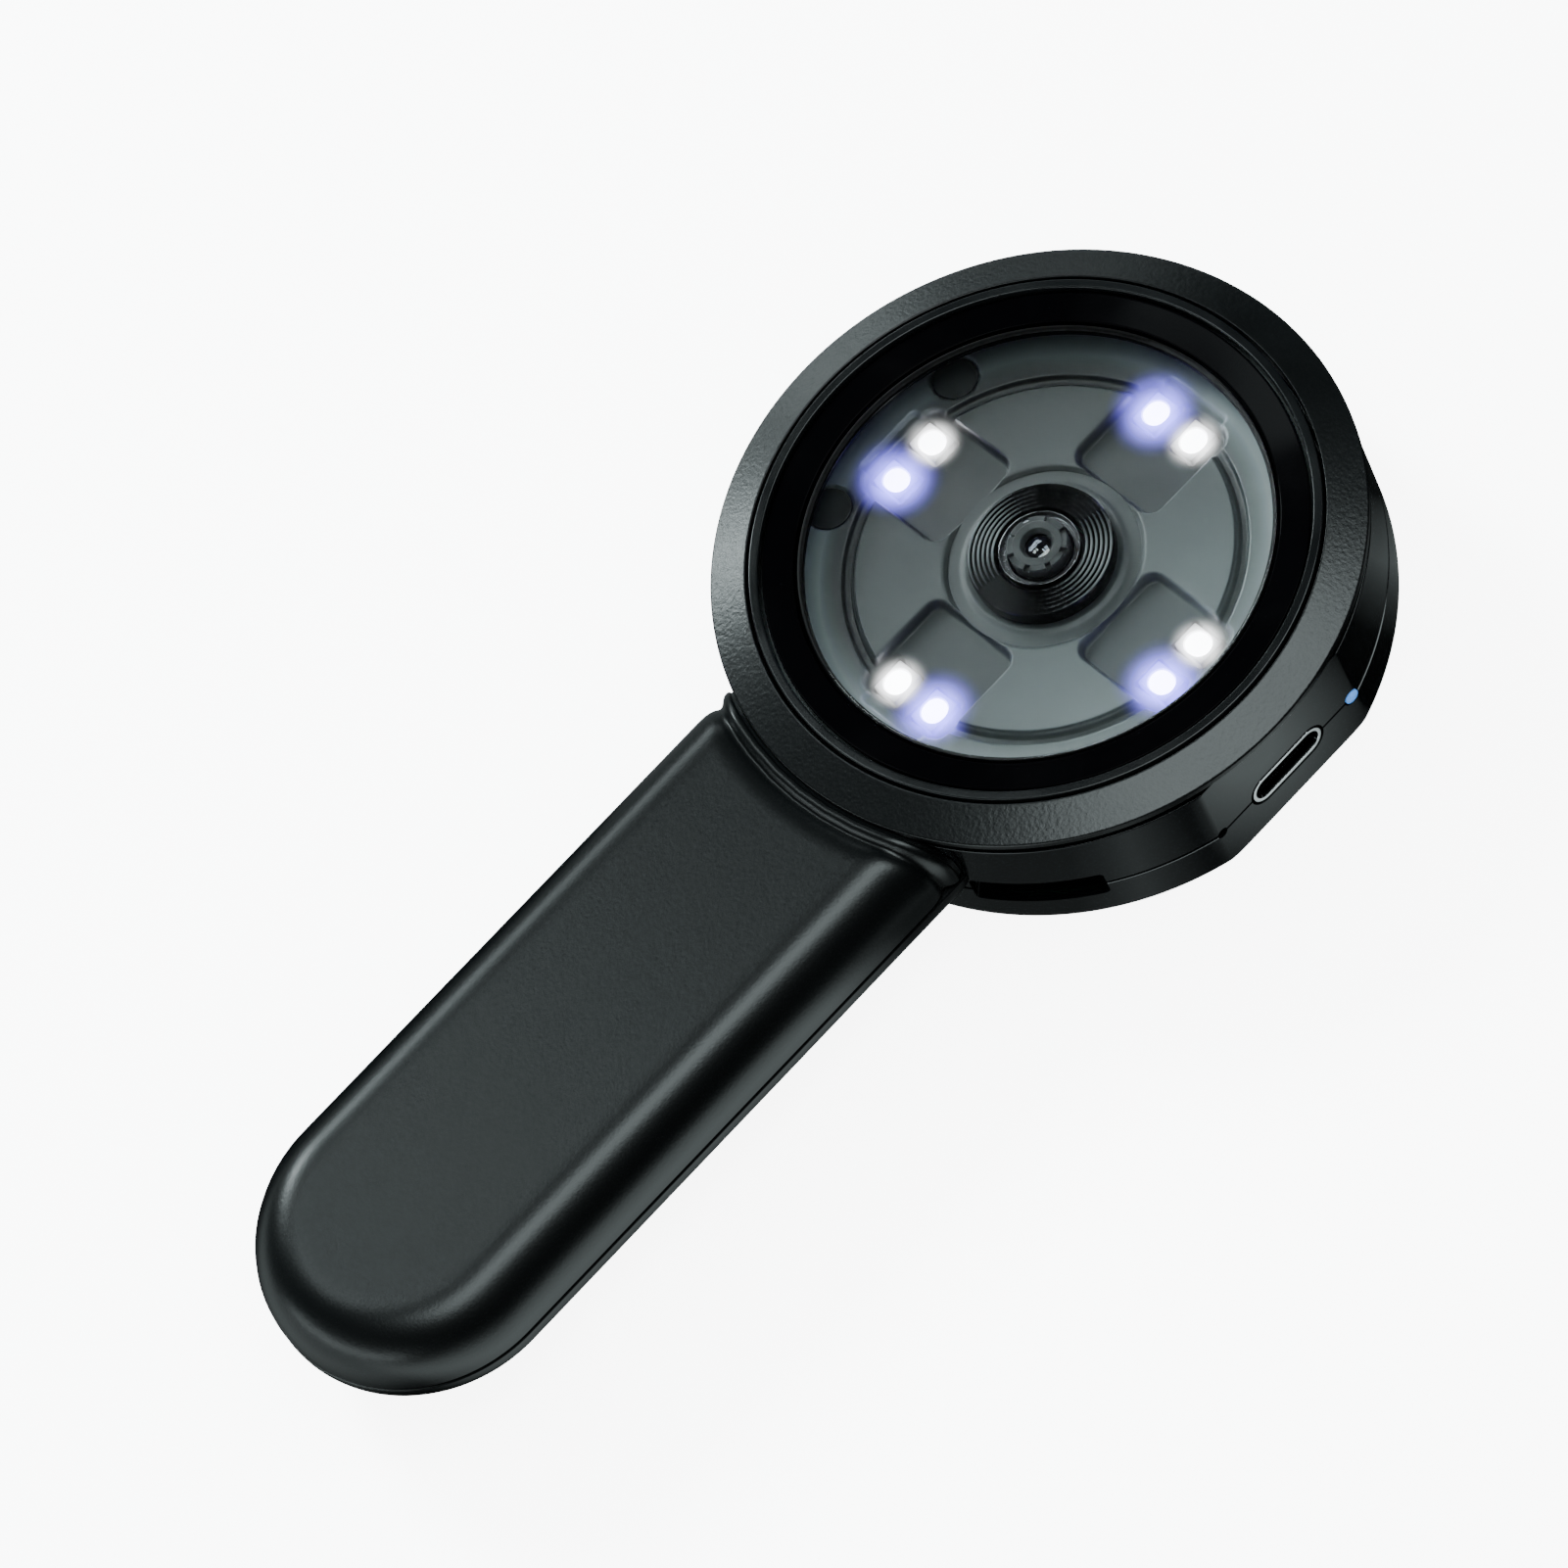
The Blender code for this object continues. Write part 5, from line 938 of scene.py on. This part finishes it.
def handle_shell(top):
    """Shell with a band and a groove round the head, straight sides and a half-round end."""
    if top:
        band = [(31.3, 0.42), (31.34, 0.3), (31.42, 0.17), (31.55, 0.06), (31.7, 0.0), (31.9, 0.0),
                (32.08, 0.05), (32.24, 0.16), (32.38, 0.32), (32.5, 0.46), (32.64, 0.57), (32.8, 0.6),
                (32.96, 0.57), (33.14, 0.47), (33.34, 0.35), (33.6, 0.24), (33.9, 0.14), (34.3, 0.06),
                (34.8, 0.01), (35.4, 0.0)]
    else:
        band = [(31.3, 0.1), (31.36, 0.03), (31.45, 0.0), (35.4, 0.0)]
    sign = 1 if top else -1
    outer = handle_rows(section(top), band, sign)
    inner = handle_rows(section(top, HANDLE_WALL), [(radius, 0.0) for radius, _ in band], sign)
    count, size = len(outer), len(outer[0])
    start = count * size
    faces = strips(count, size, closed=False) + strips(count, size, start, closed=False)
    rim = [k * size + size - 1 for k in range(count)]
    for edge in (rim, list(range(size))):
        faces += [(i, j, start + j, start + i) for i, j in zip(edge, edge[1:])]
    return [([(x, mirror * y, z) for row in outer + inner for x, y, z in row], faces) for mirror in (1, -1)]


def make_handle():
    upper = make_piece("upper_handle", handle_shell(True), satin_handle)
    wear(upper, "satin_black", "handle_top_shell")
    lower = make_piece("lower_handle", handle_shell(False), satin_handle)
    key_hole = revolve([(0, 4.0), (3.75, 4.0), (3.75, 5.0), (3.5, 5.25), (3.5, 7.6), (0, 7.6)], 64)
    screw_hole = revolve([(0, 4.0), (1.9, 4.0), (1.9, 5.0), (1.7, 5.2), (1.7, 6.2), (0, 6.2)], 48)
    cuts = [moved(key_hole, (x, y, 0)) for _, x, y in KEY_PLACES]
    cuts += [moved(screw_hole, (x, 0, 0)) for x in HANDLE_SCREWS_X]
    wear(carve(lower, cuts), "satin_black", "handle_bottom_shell")
    tongue = moved(slab(5.95, 8.0, 5.9, 7.5, 0.3, 0.1), (-28.55, 0, 0))
    wear(make_piece("neck_tongue", [tongue], satin_handle), "satin_black", "handle_bottom_shell")


def mark_shapes(kind):
    """Raised generic marks for a key: a power sign, a dot in a ring, a plus or a minus."""
    low, high = 4.355, 4.5
    if kind == "power":
        outline = ((0.95, low), (1.2, low), (1.2, high), (0.95, high))
        arc = loft([[(r * math.cos(a), r * math.sin(a), z) for r, z in outline]
                    for a in np.linspace(math.radians(125), math.radians(415), 28)])
        return [arc, moved(slab(0.125, 0.5, low, high, 0.1, 0.02), (0, 0.9, 0))]
    if kind == "capture":
        return [revolve([(0, low), (0.7, low), (0.7, high), (0, high)], 40),
                revolve([(1.1, low), (1.3, low), (1.3, high), (1.1, high)], 48)]
    bar = slab(1.1, 0.16, low, high, 0.1, 0.02)
    if kind == "zoom_out":
        return [bar]
    return [bar, slab(0.16, 1.1, low + 0.004, high, 0.1, 0.02)]


def make_keys():
    outline = [(0, 7.9), (1.0, 7.9), (1.0, 7.4), (3.8, 7.4), (3.8, 6.9), (3.2, 6.9)]
    outline += soften([(3.2, 6.0), (3.2, 4.6, 0.2), (2.4, 4.42, 0.25), (1.2, 4.4)])[1:] + [(0, 4.4)]
    for kind, x, y in KEY_PLACES:
        node = kind + "_button"
        marks = [moved(shape, (x, y, 0)) for shape in mark_shapes(kind)]
        key = make_piece(kind + "_key", [moved(revolve(outline, 96), (x, y, 0))], key_plastic, 40)
        wear(key, "satin_black", node, body=node)
        wear(make_piece(kind + "_mark", marks, key_mark, 40), "satin_black", node, body=node)


# Port and signals

def make_port(row):
    width, height = PORT_SIZE
    rim = ((0.0, -22.1), (0.0, -29.32), (0.02, -29.38), (0.06, -29.4), (0.32, -29.4), (0.36, -29.38),
           (0.38, -29.32), (0.38, -22.4))
    sleeve = loft([on_flat(stadium(width - 2 * inset, height - 2 * inset, 14), y) for inset, y in rim])
    wear(make_piece("port_sleeve", [sleeve], port_steel, 40), "plated_steel", "usb_c_shell")
    tip = ((0.0, -22.7), (0.0, -28.0), (0.06, -28.2), (0.16, -28.3))
    blade = loft([on_flat(rounded_oblong(3.3 - inset, 0.35 - inset, 0.12), y) for inset, y in tip])
    wear(make_piece("port_blade", [blade], blade_grey, 40), "lens_black", "usb_c_tongue")
    values = {"Count": 12, "Start": ((HEAD_X - 2.75) * MM, -25.7 * MM, SEAM * MM), "Step": (0.5 * MM, 0, 0)}
    for name, low in (("port_contacts_upper", 0.35), ("port_contacts_lower", -0.38)):
        seed = slab(0.13, 2.1, low, low + 0.03, 0.04, 0.01)
        wear(grown(name, seed, row, values, contact_gold), "plated_steel", "usb_c_tongue")
    pipe = [(0, 26.55), (0.75, 26.55)]
    pipe += [(0.75 * math.cos(a), 29.37 + 0.18 * math.sin(a)) for a in np.linspace(0, QUARTER, 8)]
    points, faces = revolve(pipe, 48)
    shape = ([(x + SIGNAL_X, -z, y + SEAM) for x, y, z in points], faces)
    wear(make_piece("indicator_lens", [shape], signal_blue, 50), "blue_pipe", "indicator_light_pipe")


def make_screws(row):
    """Handle screws with their heads down and a dimple for the cross, and plate screws with flat discs."""
    low, high = (corner.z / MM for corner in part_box("handle_screw_1"))
    seat = low + 0.9
    outline = [(0, high), (0.55, high), (0.7, high - 0.25), (0.7, seat), (1.4, seat), (1.4, seat - 0.55),
               (1.28, seat - 0.78), (1.0, seat - 0.9), (0.62, seat - 0.9), (0.3, seat - 0.45),
               (0, seat - 0.4)]
    first, last = HANDLE_SCREWS_X
    values = {"Count": 2, "Start": ((HEAD_X + first) * MM, 0, 0), "Step": ((last - first) * MM, 0, 0)}
    piece = grown("handle_screws", revolve(outline, 40), row, values, screw_black)
    wear(piece, "black_screw", "handle_screw_1", "handle_screw_2")
    low, high = (corner.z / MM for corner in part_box("plate_screw_1"))
    seat = high - 0.9
    top = 11.55
    outline = [(0, low), (0.7, low), (0.7, seat)]
    outline += soften([(2.18, seat), (2.18, top, 0.08), (0, top)])[1:]
    values = {"Count": 2, "Start": ((HEAD_X - PLATE_SCREW_X) * MM, PLATE_SCREW_Y * MM, 0),
              "Step": (2 * PLATE_SCREW_X * MM, 0, 0)}
    piece = grown("plate_screws", revolve(outline, 56), row, values, recess_black)
    wear(piece, "black_screw", "plate_screw_1", "plate_screw_2")


def dress_cad_nodes():
    """Materials for the CAD nodes that stay."""
    finishes = {
        inner_black: ("camera_holder", "lens_barrel"),
        board_green: ("camera_board", "main_board", "button_board"),
        board_white: ("led_board",),
        dull_steel: ("card_socket", "display_tray", "reset_switch", "power_switch", "capture_switch",
                     "zoom_in_switch", "zoom_out_switch"),
        screw_black: ("head_screw_1", "head_screw_2", "head_screw_3", "head_screw_4", "neck_screw_1",
                      "neck_screw_2"),
        silicon: ("image_sensor", "display_panel"),
        foil: ("battery",),
        foam: ("battery_pad",),
        wire_red: ("battery_lead",),
        ribbon_tan: ("button_ribbon",),
        plunger_white: ("reset_plunger",),
    }
    for material, names in finishes.items():
        for name in names:
            mesh = cad_nodes[name].data
            mesh.materials.clear()
            mesh.materials.append(material)


# Studio

def light_streaks(paint):
    """What the glossy walls see of the floor: soft streaks that run out from the head."""
    place = paint.place()
    x, y, _ = paint.axes(place)
    angle = paint.math("ARCTAN2", y, paint.math("SUBTRACT", x, HEAD_X * MM))
    stops = ((-150, 0.1), (-135, 0.12), (-129, 0.2), (-123, 0.35), (-117, 0.2), (-111, 0.06), (-75, 0.0),
             (-57, 0.01), (-49, 0.1), (-42, 0.2), (-35, 0.1), (-28, 0.01), (0, 0.02), (60, 0.3), (120, 0.25))
    ramp = paint.node("ShaderNodeValToRGB", {0: paint.spread(angle, 0.0, 1.0, -math.pi, math.pi)})
    while len(ramp.color_ramp.elements) < len(stops):
        ramp.color_ramp.elements.new(0.5)
    for element, (degrees, light) in zip(ramp.color_ramp.elements, stops):
        element.position = degrees / 360 + 0.5
        element.color = (light, light, light, 1)
    at_head = paint.spread(x, 0.0, 1.0, -0.008, 0.001)
    near = paint.spread(y, 1.7, 0.0, -0.024, -0.014)
    side = paint.math("MULTIPLY", near, paint.spread(y, 0.1, 1.0, -0.11, -0.05))
    side = paint.math("MAXIMUM", side, paint.spread(x, 0.8, 0.0, -0.082, -0.066))
    from_port = paint.vector("DISTANCE", place, (HEAD_X * MM, -0.037, 0))
    near_port = paint.spread(from_port, 0.95, 0.0, 0.003, 0.013)
    both = paint.math("MAXIMUM", ramp.outputs["Color"], near_port)
    level = paint.out("ShaderNodeMix", {"Factor": at_head, "A": side, "B": both})
    glow = paint.out("ShaderNodeEmission", {"Color": (0.86, 1, 1), "Strength": level})
    path = paint.node("ShaderNodeLightPath").outputs
    lift = paint.out("ShaderNodeEmission", {"Strength": paint.spread(path["Is Camera Ray"], 0.0, 7.0)})
    plain = paint.out("ShaderNodeAddShader", {0: paint.shader.outputs[0], 1: lift})
    seen = paint.out("ShaderNodeMixShader", {0: path["Is Glossy Ray"], 1: plain, 2: glow})
    paint.feed(paint.tree.nodes["Material Output"].inputs["Surface"], seen)


def make_floor():
    floor = add_object("floor", bpy.data.meshes.new("floor"))
    corners = [(x, y, -2e-5) for x, y in ((-3, -3), (3, -3), (3, 3), (-3, 3))]
    floor.data.from_pydata(corners, [], [(0, 1, 2, 3)])
    paint = Paint("floor_white")
    paint.finish(((0.95, 0.95, 0.95), (0.96, 0.96, 0.96)), (0.9, 0.95), None, (3.0, 1.0))
    light_streaks(paint)
    floor.data.materials.append(paint.material)


def make_air():
    """Even light all round. Mirrors see it darker."""
    world = bpy.data.worlds.new("studio_air")
    bpy.context.scene.world = world
    world.use_nodes = True
    air = Nodes(world.node_tree)
    background = air.tree.nodes["Background"].inputs
    glossy = air.node("ShaderNodeLightPath").outputs["Is Glossy Ray"]
    air.feed(background["Strength"], air.spread(glossy, 1.15, 0.014))
    air.feed(background["Color"], (0.97, 1, 1))


def soft_box(name, place, aim, size, power):
    lamp = bpy.data.lights.new(name, "AREA")
    lamp.shape = "RECTANGLE"
    lamp.size, lamp.size_y = size
    lamp.energy = power
    lamp.color = (0.86, 0.99, 1.0)
    thing = add_object(name, lamp)
    thing.location = place
    thing.rotation_euler = (Vector(aim) - Vector(place)).to_track_quat("-Z", "Y").to_euler()
    return thing


def make_lights():
    """Soft boxes at a distance, and the glow of each lit lamp."""
    head = (0.03, 0, 0.01)
    soft_box("back_soft_box", (-0.072, 0.605, 0.345), head, (0.08, 0.16), 1.25)
    soft_box("back_card_near", (0.01, 0.62, 0.31), head, (0.08, 0.1), 0.17)
    soft_box("back_card_middle", (0.19, 0.62, 0.25), head, (0.18, 0.1), 0.4)
    soft_box("back_card_far", (0.44, 0.58, 0.3), head, (0.3, 0.1), 0.18)
    soft_box("top_soft_box", (0.17, -0.14, 0.85), (0.17, 0, 0.01), (0.86, 0.34), 5.1)
    soft_box("handle_sheen", (0.085, 0.5, 0.89), (0.085, 0, 0.015), (0.06, 0.2), 0.29)
    soft_box("handle_far_sheen", (-0.11, 0.5, 0.89), (-0.11, 0, 0.015), (0.2, 0.2), 0.68)
    soft_box("end_card", (-0.8, 0.05, 0.165), (-0.06, 0, 0.01), (1.0, 0.1), 1.8)
    fill = soft_box("plate_fill", (0.06, 0.75, 0.46), head, (0.2, 0.2), 15.0)
    fill.visible_glossy = False
    for white, place in lamp_spots(12.5):
        glow = bpy.data.lights.new("lamp_glow", "POINT")
        glow.energy = 0.001 if white else 0.0016
        glow.color = (0.9, 0.95, 1.0) if white else (0.16, 0.14, 1.0)
        glow.shadow_soft_size = 0.0003
        thing = add_object("lamp_glow", glow)
        thing.location = place
        thing.visible_camera = thing.visible_glossy = thing.visible_transmission = False


def make_camera():
    camera = add_object("camera", bpy.data.cameras.new("camera"))
    camera.data.lens = 200.0
    camera.data.sensor_width = 36.0
    camera.data.clip_start = 0.01
    turn = Matrix(((0.683786, 0.710727, -0.165239), (-0.681663, 0.541399, -0.492161),
                   (-0.260332, 0.449170, 0.854678)))
    camera.matrix_world = Matrix.Translation(to_metres((-163.1365, -388.3225, 692.0579))) @ turn.to_4x4()
    bpy.context.scene.camera = camera


make_camera()
make_floor()
make_air()
make_lights()
ring_of_copies = ring_tree()
row_of_copies = row_tree()
make_rings()
make_window()
make_shells()
make_light_plate()
make_lamps(ring_of_copies)
make_lens(ring_of_copies, ridge_tree())
make_handle()
make_keys()
make_port(row_of_copies)
make_screws(row_of_copies)
dress_cad_nodes()
